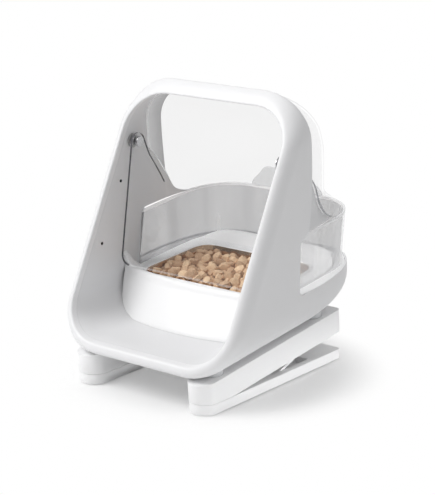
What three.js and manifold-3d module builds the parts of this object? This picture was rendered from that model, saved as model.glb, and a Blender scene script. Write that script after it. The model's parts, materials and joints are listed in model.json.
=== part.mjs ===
// Microchip pet feeder: a leaning white portal with a clear lid over a steel bowl,
// a clear hood and rear guard, and two folding risers that tip the feeder forward.
// Units are millimetres, +Z up. X = 0 is the plane of symmetry, the pet comes from -Y.
// The feeder body is modelled level in its own frame, then tilted onto its risers.

import * as THREE from 'three';
import { mergeVertices } from 'three/addons/utils/BufferGeometryUtils.js';
import Module from 'manifold-3d';

const wasm = await Module();
wasm.setup();

// Driving dimensions of the whole feeder
const tiltAngle = THREE.MathUtils.degToRad(5.98);
const bodyLift = 8.45;
const portalWidth = 240;
const portalTop = 297;
const portalBottom = 28;
const portalCorner = 58;
const ringWidth = 12.5;
const ringTopWidth = 14;
const ringBottomWidth = 15;
const openingWidth = portalWidth - 2 * ringWidth;
const openingTop = portalTop - ringTopWidth;
const openingBottom = portalBottom + ringBottomWidth;
const openingCorner = portalCorner - ringWidth;
const leanAngle = THREE.MathUtils.degToRad(32.3);
const leanFoot = -24.4;
const wallRear = 171;
const bodyRear = 282;
const skin = 2;
const clearSkin = 2.2;
const fitGap = 0.3;
const runGap = 0.4;
const overrun = 60;

// Lower rear shell
const shellRearTop = 66;
const shellRearCorner = 38;
const shellStepFillet = 25;

// Bowl and the block that holds it
const bowlFront = 116;
const bowlRear = 223;
const bowlMargin = 20.5;
const bowlTaper = 8;
const bowlFrontWidth = openingWidth - 2 * bowlMargin;
const bowlRearWidth = bowlFrontWidth - 2 * bowlTaper;
const bowlRimHeight = 85;
const bowlDepth = 34;
const bowlCorner = 20;
const bowlWall = 0.8;
const bowlRimWidth = 3.4;

// Clear lid, swinging on two side pins
const pivotY = 144;
const pivotZ = 227.5;
const lidRise = 3;
const lidRadius = pivotZ - bowlRimHeight - lidRise;
const lidMargin = 6.5;
const lidWidth = openingWidth - 2 * lidMargin;
const lidFrontAngle = THREE.MathUtils.degToRad(-17);
const lidRearAngle = THREE.MathUtils.degToRad(24);
const pinRadius = 3;

// Clear rear guard
const guardWidth = openingWidth - 2 * fitGap;
const guardTop = 144;
const guardSink = 6;
const guardBottom = shellRearTop - guardSink;
const guardLap = 21;
const guardFront = wallRear - guardLap;
const guardFlare = 3;
const guardRearTop = bodyRear + guardFlare;
const guardRearBottom = bodyRear - guardFlare;
const guardCorner = 56;

// Risers
const riserInset = 25.9;
const riserOuter = portalWidth / 2 - riserInset;
const riserWidth = 33.4;
const riserFront = 1;
const riserLength = 247;
const riserHeight = 26.7;
const riserPivotY = 46;
const riserPivotRise = 3;
const footPadHeight = 1.5;

const frameTilt = new THREE.Matrix4().makeRotationX(tiltAngle);
const openingHalf = openingWidth / 2;
const portalHalf = portalWidth / 2;
const linerOuterHalf = openingHalf + skin;
const leanSin = Math.sin(leanAngle);
const leanCos = Math.cos(leanAngle);

// Colours of the real materials
const white = () => new THREE.MeshStandardMaterial({ color: 0xf4f4f4, roughness: 0.42 });
const clear = () => new THREE.MeshStandardMaterial({ color: 0xe9eef0, roughness: 0.08 });
const steel = () => new THREE.MeshStandardMaterial({ color: 0xb9bbbd, roughness: 0.28, metalness: 1 });
const brass = () => new THREE.MeshStandardMaterial({ color: 0xc39a4a, roughness: 0.35, metalness: 1 });
const copper = () => new THREE.MeshStandardMaterial({ color: 0xb4683a, roughness: 0.4, metalness: 1 });
const rubber = () => new THREE.MeshStandardMaterial({ color: 0xbfc1c2, roughness: 0.8 });
const blackPlastic = () => new THREE.MeshStandardMaterial({ color: 0x141414, roughness: 0.25 });
const boardGreen = () => new THREE.MeshStandardMaterial({ color: 0x23623a, roughness: 0.5 });
const greyPlastic = () => new THREE.MeshStandardMaterial({ color: 0x7c8083, roughness: 0.5 });
const kibbleBrown = () => new THREE.MeshStandardMaterial({ color: 0xb98a5e, roughness: 0.85 });

// Solids: a closed three.js geometry becomes a body that can be joined and cut
function signedVolume(position, index) {
  const [a, b, c] = [new THREE.Vector3(), new THREE.Vector3(), new THREE.Vector3()];
  let sum = 0;
  for (let i = 0; i < index.count; i += 3) {
    a.fromBufferAttribute(position, index.getX(i));
    b.fromBufferAttribute(position, index.getX(i + 1));
    c.fromBufferAttribute(position, index.getX(i + 2));
    sum += a.dot(b.cross(c));
  }
  return sum;
}

function solid(geometry) {
  const bare = geometry.clone();
  bare.deleteAttribute('normal');
  bare.deleteAttribute('uv');
  const merged = mergeVertices(bare);
  const corners = new Uint32Array(merged.index.array);
  if (signedVolume(merged.attributes.position, merged.index) < 0) corners.reverse();
  return new wasm.Manifold(new wasm.Mesh({
    numProp: 3,
    vertProperties: new Float32Array(merged.attributes.position.array),
    triVerts: corners,
  }));
}

function geometryOf(body) {
  const mesh = body.getMesh();
  const geometry = new THREE.BufferGeometry();
  geometry.setAttribute('position', new THREE.BufferAttribute(mesh.vertProperties, mesh.numProp));
  geometry.setIndex(new THREE.BufferAttribute(mesh.triVerts, 1));
  return geometry;
}

function joined(parts) {
  return parts.reduce((all, part) => all.add(part));
}

function block(x0, x1, y0, y1, z0, z1) {
  const geometry = new THREE.BoxGeometry(x1 - x0, y1 - y0, z1 - z0);
  geometry.translate((x0 + x1) / 2, (y0 + y1) / 2, (z0 + z1) / 2);
  return solid(geometry);
}

// A prism of an outline: drawn in XZ and run along Y, drawn in YZ and run along X, or flat in XY
const alongY = new THREE.Matrix4().set(1, 0, 0, 0, 0, 0, -1, 0, 0, 1, 0, 0, 0, 0, 0, 1);
const alongX = new THREE.Matrix4().set(0, 0, 1, 0, 1, 0, 0, 0, 0, 1, 0, 0, 0, 0, 0, 1);

function prism(shape, from, to, turn, steps) {
  const geometry = new THREE.ExtrudeGeometry(shape, {
    depth: to - from, bevelEnabled: false, curveSegments: steps,
  });
  geometry.translate(0, 0, from);
  if (turn) geometry.applyMatrix4(turn);
  return solid(geometry);
}

const prismY = (shape, y0, y1, steps = 6) => prism(shape, -y1, -y0, alongY, steps);
const prismX = (shape, x0, x1, steps = 6) => prism(shape, x0, x1, alongX, steps);
const prismZ = (shape, z0, z1, steps = 6) => prism(shape, z0, z1, null, steps);

function rod(axis, radius, from, to, a, b, sides = 20) {
  const geometry = new THREE.CylinderGeometry(radius, radius, to - from, sides);
  if (axis === 'x') {
    geometry.rotateZ(-Math.PI / 2);
    geometry.translate((from + to) / 2, a, b);
  }
  if (axis === 'y') geometry.translate(a, (from + to) / 2, b);
  if (axis === 'z') {
    geometry.rotateX(Math.PI / 2);
    geometry.translate(a, b, (from + to) / 2);
  }
  return solid(geometry);
}

// A rounded rectangle whose corners may be elliptic
function roundedShape(x0, x1, y0, y1, cornerX, cornerY = cornerX) {
  const shape = new THREE.Shape();
  const right = Math.PI / 2;
  shape.moveTo(x0 + cornerX, y0);
  shape.lineTo(x1 - cornerX, y0);
  shape.absellipse(x1 - cornerX, y0 + cornerY, cornerX, cornerY, -right, 0);
  shape.lineTo(x1, y1 - cornerY);
  shape.absellipse(x1 - cornerX, y1 - cornerY, cornerX, cornerY, 0, right);
  shape.lineTo(x0 + cornerX, y1);
  shape.absellipse(x0 + cornerX, y1 - cornerY, cornerX, cornerY, right, 2 * right);
  shape.lineTo(x0, y0 + cornerY);
  shape.absellipse(x0 + cornerX, y0 + cornerY, cornerX, cornerY, 2 * right, 3 * right);
  return shape;
}

function polygon(points) {
  return new THREE.Shape(points.map(([x, y]) => new THREE.Vector2(x, y)));
}

// A closed solid between two grids of points that face each other
function sheetBetween(front, back) {
  const rows = front.length;
  const columns = front[0].length;
  const points = [...front.flat(), ...back.flat()];
  const index = [];
  const at = (side, r, c) => side * rows * columns + r * columns + c;
  const quad = (a, b, c, d) => index.push(a, b, c, a, c, d);
  for (let r = 0; r + 1 < rows; r += 1) {
    for (let c = 0; c + 1 < columns; c += 1) {
      quad(at(0, r, c), at(0, r, c + 1), at(0, r + 1, c + 1), at(0, r + 1, c));
      quad(at(1, r, c), at(1, r + 1, c), at(1, r + 1, c + 1), at(1, r, c + 1));
    }
  }
  for (let c = 0; c + 1 < columns; c += 1) {
    quad(at(0, 0, c), at(1, 0, c), at(1, 0, c + 1), at(0, 0, c + 1));
    quad(at(0, rows - 1, c), at(0, rows - 1, c + 1), at(1, rows - 1, c + 1), at(1, rows - 1, c));
  }
  for (let r = 0; r + 1 < rows; r += 1) {
    quad(at(0, r, 0), at(0, r + 1, 0), at(1, r + 1, 0), at(1, r, 0));
    quad(at(0, r, columns - 1), at(1, r, columns - 1), at(1, r + 1, columns - 1), at(0, r + 1, columns - 1));
  }
  const geometry = new THREE.BufferGeometry();
  const positions = points.flatMap((p) => [p.x, p.y, p.z]);
  geometry.setAttribute('position', new THREE.Float32BufferAttribute(positions, 3));
  geometry.setIndex(index);
  return solid(geometry);
}

// The portal's front outline, seen along Y, grown by a margin
function portalOutline(margin) {
  const corner = portalCorner + margin;
  return roundedShape(-portalHalf - margin, portalHalf + margin,
    portalBottom - margin, portalTop + margin, corner, corner * leanCos);
}

function openingOutline(margin) {
  const corner = openingCorner + margin;
  return roundedShape(-openingHalf - margin, openingHalf + margin,
    openingBottom - margin, openingTop + margin, corner, corner * leanCos);
}

// The leaning plane of the ring: local X across, local Y up the slope, local Z forward
const leanFrame = new THREE.Matrix4().set(
  1, 0, 0, 0,
  0, leanSin, -leanCos, leanFoot,
  0, leanCos, leanSin, 0,
  0, 0, 0, 1,
);

function behindRing(depth) {
  const geometry = new THREE.BoxGeometry(portalWidth * 2, portalTop * 4, portalTop * 2);
  geometry.translate(0, portalTop, -portalTop - depth);
  geometry.applyMatrix4(leanFrame);
  return solid(geometry);
}

// The portal's front edge: a narrow lip round the opening, from which the outside swells
// back and outwards in a quarter curve to the full section
const lipWidth = 2;
const edgeDepth = 22;
const edgeSteps = 6;
const leanAt = (z) => leanFoot + z * Math.tan(leanAngle);

function edgeOutline(grow, margin) {
  const between = (from, to) => from + (to - from) * grow;
  const half = between(openingHalf + lipWidth, portalHalf) + margin;
  const low = between(openingBottom - lipWidth, portalBottom) - margin;
  const high = between(openingTop + lipWidth, portalTop) + margin;
  const corner = between(openingCorner + lipWidth, portalCorner) + margin;
  const tall = corner * leanCos;
  const points = [];
  const corners = [[1, low + tall], [1, high - tall], [-1, high - tall], [-1, low + tall]];
  corners.forEach(([side, middle], quarter) => {
    for (let step = 0; step <= edgeSteps; step += 1) {
      const turn = (quarter - 1 + step / edgeSteps) * (Math.PI / 2);
      const across = side * (half - corner) + corner * Math.cos(turn);
      points.push(new THREE.Vector2(across, middle + tall * Math.sin(turn)));
    }
  });
  return points;
}

function portalFront(margin) {
  const rings = [];
  for (let step = 0; step <= edgeSteps; step += 1) {
    const turn = (step / edgeSteps) * (Math.PI / 2);
    rings.push(edgeOutline(Math.sin(turn), margin).map(({ x, y: z }) => {
      const room = Math.min(edgeDepth, wallRear - leanAt(z));
      return new THREE.Vector3(x, leanAt(z) - margin + room * (1 - Math.cos(turn)), z);
    }));
  }
  rings.push(rings[edgeSteps].map((p) => new THREE.Vector3(p.x, bodyRear + overrun, p.z)));
  return throughRings(rings);
}

// A closed solid through rings of points, with a flat face at each end
function throughRings(rings) {
  const count = rings[0].length;
  const last = (rings.length - 1) * count;
  const faces = THREE.ShapeUtils.triangulateShape(rings[0].map((p) => new THREE.Vector2(p.x, p.z)), []);
  const index = faces.flatMap(([a, b, c]) => [a, b, c, last + a, last + c, last + b]);
  for (let r = 0; r + 1 < rings.length; r += 1) {
    for (let c = 0; c < count; c += 1) {
      const next = (c + 1) % count;
      const [a, b] = [r * count + c, r * count + next];
      index.push(a, a + count, b + count, a, b + count, b);
    }
  }
  const geometry = new THREE.BufferGeometry();
  const positions = rings.flat().flatMap((p) => [p.x, p.y, p.z]);
  geometry.setAttribute('position', new THREE.Float32BufferAttribute(positions, 3));
  geometry.setIndex(index);
  return solid(geometry);
}

// The ring: a solid band round the opening, with a channel for the antenna coil
const ringBack = 7;
const coilWidth = 3;
const coilDepth = 3.6;
const coilInset = 6.4;
const coilRise = 3.2;

function leaningShape(halfWidth, low, high, corner) {
  return roundedShape(-halfWidth, halfWidth, low / leanCos, high / leanCos, corner);
}

function ringPrism(outer, hole, from, to, round) {
  outer.holes.push(hole);
  const geometry = new THREE.ExtrudeGeometry(outer, {
    depth: to - from - 2 * round,
    bevelEnabled: round > 0,
    bevelThickness: round,
    bevelSize: round,
    bevelOffset: -round,
    bevelSegments: 2,
    curveSegments: 6,
  });
  geometry.translate(0, 0, from + round);
  geometry.applyMatrix4(leanFrame);
  return solid(geometry);
}

function coilBand(margin, from, to) {
  const inset = coilInset - margin;
  const width = coilWidth + 2 * margin;
  const low = portalBottom + coilRise + inset;
  return ringPrism(
    leaningShape(portalHalf - inset, low, portalTop - inset, portalCorner - inset),
    leaningShape(portalHalf - inset - width, low + width,
      portalTop - inset - width, portalCorner - inset - width),
    from, to, 0,
  );
}

function ring() {
  return ringPrism(
    leaningShape(portalHalf, portalBottom, portalTop, portalCorner),
    leaningShape(openingHalf, openingBottom, openingTop, openingCorner),
    -ringBack - 2 * lipWidth, 0, lipWidth,
  ).subtract(behindRing(ringBack)).intersect(portalFront(0));
}

// Plan of the shell: straight sides, then a long curve into the rear
const planSideCurve = 117;
const planSideReach = 67;
const planRearInset = 20;
const planFlatInset = 68;
const planCurveStart = bodyRear - planSideCurve;
const planSidePull = planCurveStart + planSideReach;
const planRearPull = portalHalf - planRearInset;
const planRearFlat = portalHalf - planFlatInset;

function shellPlan(margin) {
  const half = portalHalf + margin;
  const rear = bodyRear + margin;
  const shape = new THREE.Shape();
  shape.moveTo(-half, -overrun);
  shape.lineTo(half, -overrun);
  shape.lineTo(half, planCurveStart);
  shape.bezierCurveTo(half, planSidePull, planRearPull + margin, rear, planRearFlat, rear);
  shape.lineTo(-planRearFlat, rear);
  shape.bezierCurveTo(-planRearPull - margin, rear, -half, planSidePull, -half, planCurveStart);
  return shape;
}

// Side view of the shell: flat bottom, round rear foot, low rear part and upright wall edge
function shellProfile(margin, openTop) {
  const rear = bodyRear + margin;
  const bottom = portalBottom - margin;
  const corner = shellRearCorner + margin;
  const step = openTop ? shellRearTop + overrun * 4 : shellRearTop;
  const shape = new THREE.Shape();
  shape.moveTo(-overrun, bottom);
  shape.lineTo(rear - corner, bottom);
  shape.absarc(rear - corner, bottom + corner, corner, -Math.PI / 2, 0);
  shape.lineTo(rear, step);
  if (!openTop) {
    shape.lineTo(wallRear + shellStepFillet, step);
    shape.absarc(wallRear + shellStepFillet, step + shellStepFillet, shellStepFillet,
      -Math.PI / 2, -Math.PI, true);
    shape.lineTo(wallRear, portalTop + overrun);
  } else {
    shape.lineTo(rear, portalTop + overrun);
  }
  shape.lineTo(-overrun, portalTop + overrun);
  return shape;
}

function shellVolume(margin, openTop) {
  return prismY(portalOutline(margin), -overrun, bodyRear + overrun)
    .intersect(prismX(shellProfile(margin, openTop), -portalWidth, portalWidth))
    .intersect(prismZ(shellPlan(margin), -overrun, portalTop + overrun));
}

// Opening in the shell's floor for the base plate, and the plate's screws
const plateClearance = 6.7;
const basePlateHalf = riserOuter - riserWidth - plateClearance;
const basePlateFront = 36;
const basePlateRear = 236;
const basePlateCorner = 8;
const plateThickness = 1.7;
const ledge = 5;
const ledgeOverlap = 4;
const bossHeight = 8;
const screwRadius = 1.5;
const screwHeadRadius = 2.8;
const screwHead = 1.9;
const screwLength = 9;
const bossRadius = 4;

const basePlateOutline = (margin) => roundedShape(-basePlateHalf - margin, basePlateHalf + margin,
  basePlateFront - margin, basePlateRear + margin, basePlateCorner + margin);

const baseScrewInset = bossRadius + screwHeadRadius;
const baseScrewPlaces = [
  ['front_left', -basePlateHalf + baseScrewInset, basePlateFront + baseScrewInset],
  ['front_right', basePlateHalf - baseScrewInset, basePlateFront + baseScrewInset],
  ['rear_left', -basePlateHalf + baseScrewInset, basePlateRear - baseScrewInset],
  ['rear_right', basePlateHalf - baseScrewInset, basePlateRear - baseScrewInset],
];

// Button and indicator in the shell's rear wall
const rearPanelZ = 52;
const buttonX = 26;
const buttonRadius = 5;
const lensX = 8;
const lensRadius = 2;
const buttonBoardInset = 13;
const buttonBoardRear = bodyRear - buttonBoardInset;
const boardThickness = 1.6;
const postRadius = 2;

// Outer shell: ring, side skins, floor and low rear wall in one moulding
function outerShell() {
  const skins = shellVolume(0, false).intersect(portalFront(0))
    .subtract(shellVolume(-skin, true).intersect(portalFront(-skin)))
    .subtract(prismY(openingOutline(0), -overrun, wallRear));
  const floorTop = portalBottom + skin;
  const ledgeBand = prismZ(basePlateOutline(ledgeOverlap), floorTop - skin / 2, floorTop + skin, 4);
  const bosses = joined(baseScrewPlaces.map(([, x, y]) => rod('z', bossRadius,
    floorTop, floorTop + bossHeight, x, y, 16)));
  const boardPosts = joined([lensX + buttonX, lensX - buttonX / 2].map((x) => rod('y', postRadius,
    buttonBoardRear + fitGap, bodyRear - skin * 2, x, rearPanelZ, 12)));
  return skins
    .add(ring().intersect(block(-portalHalf, portalHalf, -overrun, wallRear, 0, portalTop)))
    .subtract(coilBand(fitGap, -ringBack - skin, -ringBack + coilDepth + fitGap))
    .add(ledgeBand)
    .subtract(prismZ(basePlateOutline(fitGap), portalBottom - overrun, floorTop, 4))
    .subtract(prismZ(basePlateOutline(-ledge), portalBottom - overrun, floorTop + overrun / 4, 4))
    .add(bosses)
    .add(boardPosts)
    .subtract(joined(baseScrewPlaces.map(([, x, y]) => rod('z', screwRadius + fitGap,
      portalBottom - overrun, floorTop + bossHeight - skin / 2, x, y, 12))))
    .subtract(rod('y', buttonRadius + fitGap, bodyRear - overrun / 2, bodyRear + overrun, buttonX, rearPanelZ))
    .subtract(rod('y', lensRadius + fitGap, bodyRear - overrun / 2, bodyRear + overrun, lensX, rearPanelZ, 16));
}

// Inner liner: inside walls of the portal, the front platform and the rear wings
const wingReach = 24;
const wingTipReach = 57;
const wingRise = 41;
const linerRear = wallRear + wingReach;
const wingCurveTop = guardTop + wingRise;
const wingTipY = wallRear + wingTipReach;
const wingClearance = 3;
const wingBottom = guardTop + wingClearance;
const platformRear = bowlFront;

function linerProfile() {
  const shape = new THREE.Shape();
  shape.moveTo(-overrun, -overrun);
  shape.lineTo(platformRear, -overrun);
  shape.lineTo(platformRear, openingBottom + openingCorner);
  shape.lineTo(wallRear, openingBottom + openingCorner);
  shape.lineTo(wallRear, wingBottom);
  shape.lineTo(wingTipY, wingBottom);
  shape.quadraticCurveTo(linerRear, wingBottom, linerRear, wingCurveTop);
  shape.lineTo(linerRear, portalTop + overrun);
  shape.lineTo(-overrun, portalTop + overrun);
  return shape;
}

const irSetBack = [24.7, 64.4];
const irHeight = [186.7, 125.1];
const irPlaces = [['upper', pivotY - irSetBack[0], irHeight[0]], ['lower', pivotY - irSetBack[1], irHeight[1]]];
const irRadius = 1.8;

function innerLiner() {
  const bore = pinRadius + skin + fitGap;
  const nearWalls = prismY(openingOutline(skin), -overrun, wallRear)
    .subtract(prismY(openingOutline(0), -overrun * 2, bodyRear + overrun));
  const underHood = clearSkin + fitGap;
  const wings = hoodVolume(underHood).subtract(hoodVolume(underHood + skin))
    .intersect(block(-portalHalf, portalHalf, wallRear - skin / 2, bodyRear, wingBottom, portalTop));
  let body = nearWalls.add(wings)
    .intersect(prismX(linerProfile(), -portalWidth, portalWidth))
    .intersect(behindRing(ringBack + fitGap))
    .add(joined(motorScrewPlaces.map(([y, z]) => rod('x', motorBoss, linerOuterHalf - skin / 2,
      motorFront - fitGap, y, z, 16))))
    .subtract(joined(motorScrewPlaces.map(([y, z]) => rod('x', smallScrew + fitGap / 2,
      linerOuterHalf + skin / 4, motorFront + overrun, y, z, 10))));
  for (const side of [-1, 1]) {
    const middle = side * openingHalf;
    body = body.subtract(rod('x', bore, middle - overrun / 2, middle + overrun / 2, pivotY, pivotZ));
    for (const [, y, z] of irPlaces) {
      body = body.subtract(rod('x', irRadius + fitGap, middle - overrun / 2, middle + overrun / 2, y, z, 12));
    }
  }
  return body;
}

// Bowl housing: the block behind the platform, its front face leaning back and bulging
const blockRise = 3;
const blockTop = bowlRimHeight + blockRise;
const blockRim = 12;
const blockLean = 36.5;
const blockTopFront = bowlFront - blockRim;
const blockFootFront = blockTopFront - blockLean;
const blockFootSweep = 20;
const blockTopSweep = 10;
const rimDrop = 1;
const deckTop = bowlRimHeight - rimDrop;
const lipDepth = 8;
const housingInset = 20;
const surroundGap = 9;
const surroundRun = 22;
const surroundRise = 12;
const housingRear = bodyRear - housingInset;
const surroundFoot = bowlRear + surroundGap;
const surroundRear = surroundFoot + surroundRun;
const surroundTop = bowlRimHeight + surroundRise;
const guardSpread = (guardRearTop - guardRearBottom) / 2;
const housingHalf = guardWidth / 2 - guardSpread - clearSkin - fitGap;
const faceColumns = 12;

function faceRow(z, front, sweep, half) {
  const row = [];
  for (let c = 0; c <= faceColumns; c += 1) {
    const share = (c / faceColumns) * 2 - 1;
    row.push(new THREE.Vector3(share * half, front + sweep * share * share, z));
  }
  return row;
}

function housingBlock(inset, drop) {
  const half = openingHalf + overrun / 2;
  const grow = (half / openingHalf) ** 2;
  const low = openingBottom + fitGap - drop;
  const high = surroundTop + overrun / 4;
  const share = (low - openingBottom) / (blockTop - openingBottom);
  const lowFront = blockFootFront + (blockTopFront - blockFootFront) * share;
  const lowSweep = blockFootSweep + (blockTopSweep - blockFootSweep) * share;
  const front = [
    faceRow(low, lowFront + inset, lowSweep * grow, half),
    faceRow(blockTop, blockTopFront + inset, blockTopSweep * grow, half),
    faceRow(high, blockTopFront + inset, blockTopSweep * grow, half),
  ];
  const back = front.map((row) => row.map((p) => new THREE.Vector3(p.x, housingRear - inset, p.z)));
  return sheetBetween(front, back);
}

function housingTop(drop) {
  return prismX(polygon([
    [blockFootFront - overrun, openingBottom - overrun],
    [housingRear + overrun, openingBottom - overrun],
    [housingRear + overrun, surroundTop - drop],
    [surroundRear, surroundTop - drop],
    [surroundFoot, deckTop - drop],
    [blockTopFront + lipDepth, deckTop - drop],
    [blockTopFront + lipDepth - skin / 2, blockTop - drop],
    [blockFootFront - overrun, blockTop - drop],
  ]), -portalWidth, portalWidth);
}

function housingSides(inset) {
  const inLiner = prismY(openingOutline(-fitGap - inset), -overrun, wallRear)
    .intersect(block(-portalWidth, portalWidth, -overrun, guardFront - fitGap - inset, -overrun, portalTop));
  const inGuard = prismZ(roundedShape(-housingHalf + inset, housingHalf - inset,
    guardFront - overrun, housingRear - inset, guardCorner - inset), openingBottom - overrun, portalTop);
  const narrow = prismY(openingOutline(-fitGap - inset - clearSkin), -overrun, bodyRear);
  return inLiner.add(inGuard.intersect(narrow));
}

function bowlShape(margin) {
  const frontHalf = bowlFrontWidth / 2 + margin;
  const rearHalf = bowlRearWidth / 2 + margin;
  const y0 = bowlFront - margin;
  const y1 = bowlRear + margin;
  const corner = bowlCorner + margin;
  const corners = [[-frontHalf, y0], [frontHalf, y0], [rearHalf, y1], [-rearHalf, y1]];
  const shape = new THREE.Shape();
  corners.forEach(([x, y], i) => {
    const [px, py] = corners[(i + 3) % 4];
    const [nx, ny] = corners[(i + 1) % 4];
    const before = new THREE.Vector2(px - x, py - y).setLength(corner);
    const after = new THREE.Vector2(nx - x, ny - y).setLength(corner);
    if (i === 0) shape.moveTo(x + before.x, y + before.y);
    else shape.lineTo(x + before.x, y + before.y);
    shape.quadraticCurveTo(x, y, x + after.x, y + after.y);
  });
  shape.closePath();
  return shape;
}

function bowlHousing() {
  const outer = housingBlock(0, 0).intersect(housingTop(0)).intersect(housingSides(0));
  const inner = housingBlock(skin, overrun).intersect(housingTop(skin)).intersect(housingSides(skin));
  return outer
    .subtract(inner)
    .subtract(prismZ(bowlShape(runGap), openingBottom - overrun, portalTop, 5));
}

// Food bowl: deep-drawn steel with a flat rim that rests on the deck
const bowlSideShares = [[0, 0], [0.09, 0.235], [0.16, 0.765], [0.265, 0.94], [0.47, 1]];
const bowlSteps = 40;

function bowlSolid(margin, topRise) {
  const levels = bowlSideShares.map(([inset, drop]) => [inset * bowlDepth, -drop * bowlDepth]);
  let body = null;
  for (let i = 0; i + 1 < levels.length; i += 1) {
    const [inset, drop] = levels[i];
    const [nextInset, nextDrop] = levels[i + 1];
    const upper = bowlShape(-inset - margin).getSpacedPoints(bowlSteps);
    const lower = bowlShape(-nextInset - margin).getSpacedPoints(bowlSteps);
    const slice = frustum(lower, bowlRimHeight + nextDrop + margin, upper, bowlRimHeight + drop
      + (i === 0 ? topRise : margin));
    body = body ? body.add(slice) : slice;
  }
  return body;
}

function frustum(lower, z0, upper, z1) {
  const count = upper.length - 1;
  const positions = [];
  for (let i = 0; i < count; i += 1) positions.push(lower[i].x, lower[i].y, z0);
  for (let i = 0; i < count; i += 1) positions.push(upper[i].x, upper[i].y, z1);
  const index = [];
  for (const face of THREE.ShapeUtils.triangulateShape(lower.slice(0, count), [])) {
    index.push(face[0], face[2], face[1]);
  }
  for (const face of THREE.ShapeUtils.triangulateShape(upper.slice(0, count), [])) {
    index.push(face[0] + count, face[1] + count, face[2] + count);
  }
  for (let i = 0; i < count; i += 1) {
    const n = (i + 1) % count;
    index.push(i, n, n + count, i, n + count, i + count);
  }
  const geometry = new THREE.BufferGeometry();
  geometry.setAttribute('position', new THREE.Float32BufferAttribute(positions, 3));
  geometry.setIndex(index);
  return solid(geometry);
}

function foodBowl() {
  const rim = prismZ(bowlShape(bowlRimWidth), deckTop + fitGap, deckTop + fitGap + bowlWall, 5);
  return bowlSolid(0, 0).add(rim)
    .subtract(bowlSolid(bowlWall, overrun / 4));
}

// Kibble: a low mound in the bowl
const kibbleTop = 76;

function kibbleBed() {
  return bowlSolid(bowlWall + fitGap, overrun / 4)
    .intersect(block(-portalHalf, portalHalf, 0, bodyRear, bowlRimHeight - bowlDepth, kibbleTop));
}

// Rear guard: a clear U-shaped wall that flares towards its rim
const guardArcSteps = 8;

function guardPlan(half, front, rear, corner) {
  const path = new THREE.Path();
  path.moveTo(-half, front);
  path.lineTo(-half, rear - corner);
  path.absarc(-half + corner, rear - corner, corner, Math.PI, Math.PI / 2, true);
  path.lineTo(half - corner, rear);
  path.absarc(half - corner, rear - corner, corner, Math.PI / 2, 0, true);
  path.lineTo(half, front);
  return path.getPoints(guardArcSteps);
}

function guardRow(z, inset) {
  const share = (z - guardBottom) / (guardTop - guardBottom);
  const rear = guardRearBottom + (guardRearTop - guardRearBottom) * share;
  const half = guardWidth / 2 - guardSpread * (1 - share);
  return guardPlan(half - inset, guardFront, rear - inset, guardCorner - inset)
    .map((p) => new THREE.Vector3(p.x, p.y, z));
}

function rearGuard() {
  const heights = [guardBottom, guardTop];
  return sheetBetween(heights.map((z) => guardRow(z, 0)), heights.map((z) => guardRow(z, clearSkin)));
}

// Clear hood: a dome behind the ring that flares to the guard's rim
const hoodHalf = linerOuterHalf + fitGap + clearSkin;
const hoodSink = 6;
const hoodTop = portalTop - hoodSink;
const hoodCorner = 50;
const hoodFoot = guardTop + fitGap;
const hoodSideRise = 61;
const hoodSideReach = 19;
const hoodSideFoot = guardTop + hoodSideRise;
const hoodSideStart = wallRear + hoodSideReach;
const hoodSideEnd = wingTipY;
const hoodUpperShare = 0.1;
const hoodLowerShare = 0.2;
const hoodFront = wallRear + fitGap;
const hoodLap = 5;
const hoodSpringing = wallRear - hoodLap;
const hoodColumns = 20;
// Rows of the dome: height share, depth share and the power of its plan curve
const hoodRowShares = [
  [0, 1, 3.2],
  [0.053, 0.983, 2.8],
  [0.107, 0.95, 2.35],
  [0.189, 0.908, 2.1],
  [0.298, 0.878, 2],
  [0.53, 0.866, 2],
  [0.666, 0.807, 2],
  [0.775, 0.723, 2],
  [0.87, 0.597, 2],
  [0.939, 0.437, 2],
  [0.98, 0.277, 2],
  [1, 0.101, 2],
];

function hoodPoint(angle, half, depth, power) {
  const c = Math.cos(angle);
  const s = Math.sin(angle);
  const x = Math.sign(c) * half * Math.abs(c) ** (2 / power);
  return [x, hoodSpringing + depth * Math.abs(s) ** (2 / power)];
}

function hoodHalfAt(z, inset) {
  const rise = Math.max(0, z - (hoodTop - hoodCorner));
  const round = hoodCorner * Math.sqrt(Math.max(0, 1 - (rise / hoodCorner) ** 2));
  return hoodHalf - hoodCorner + round - inset;
}

function hoodVolume(inset) {
  const rows = hoodRowShares.map(([rise, reach, power], level) => {
    const z = hoodFoot + (hoodTop - hoodFoot) * rise;
    const rear = hoodSpringing + (guardRearTop - hoodSpringing) * reach;
    const height = level === 0 ? z : z - inset;
    const half = hoodHalfAt(z, inset);
    const row = [];
    for (let c = 0; c <= hoodColumns; c += 1) {
      const angle = (c / hoodColumns) * Math.PI;
      const [x, y] = hoodPoint(angle, half, rear - inset - hoodSpringing, power);
      row.push(new THREE.Vector3(x, y, height));
    }
    return row;
  });
  const foot = rows[0].map((p) => new THREE.Vector3(p.x, p.y, p.z - inset));
  const all = inset > 0 ? [foot, ...rows] : rows;
  const backs = all.map((row) => row.map((p) => new THREE.Vector3(p.x, hoodSpringing - skin, p.z)));
  return sheetBetween(all.map((row) => [...row].reverse()), backs.map((row) => [...row].reverse()));
}

const tabHalf = 44;
const tabTopHalf = 30;
const tabRise = 22;

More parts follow.
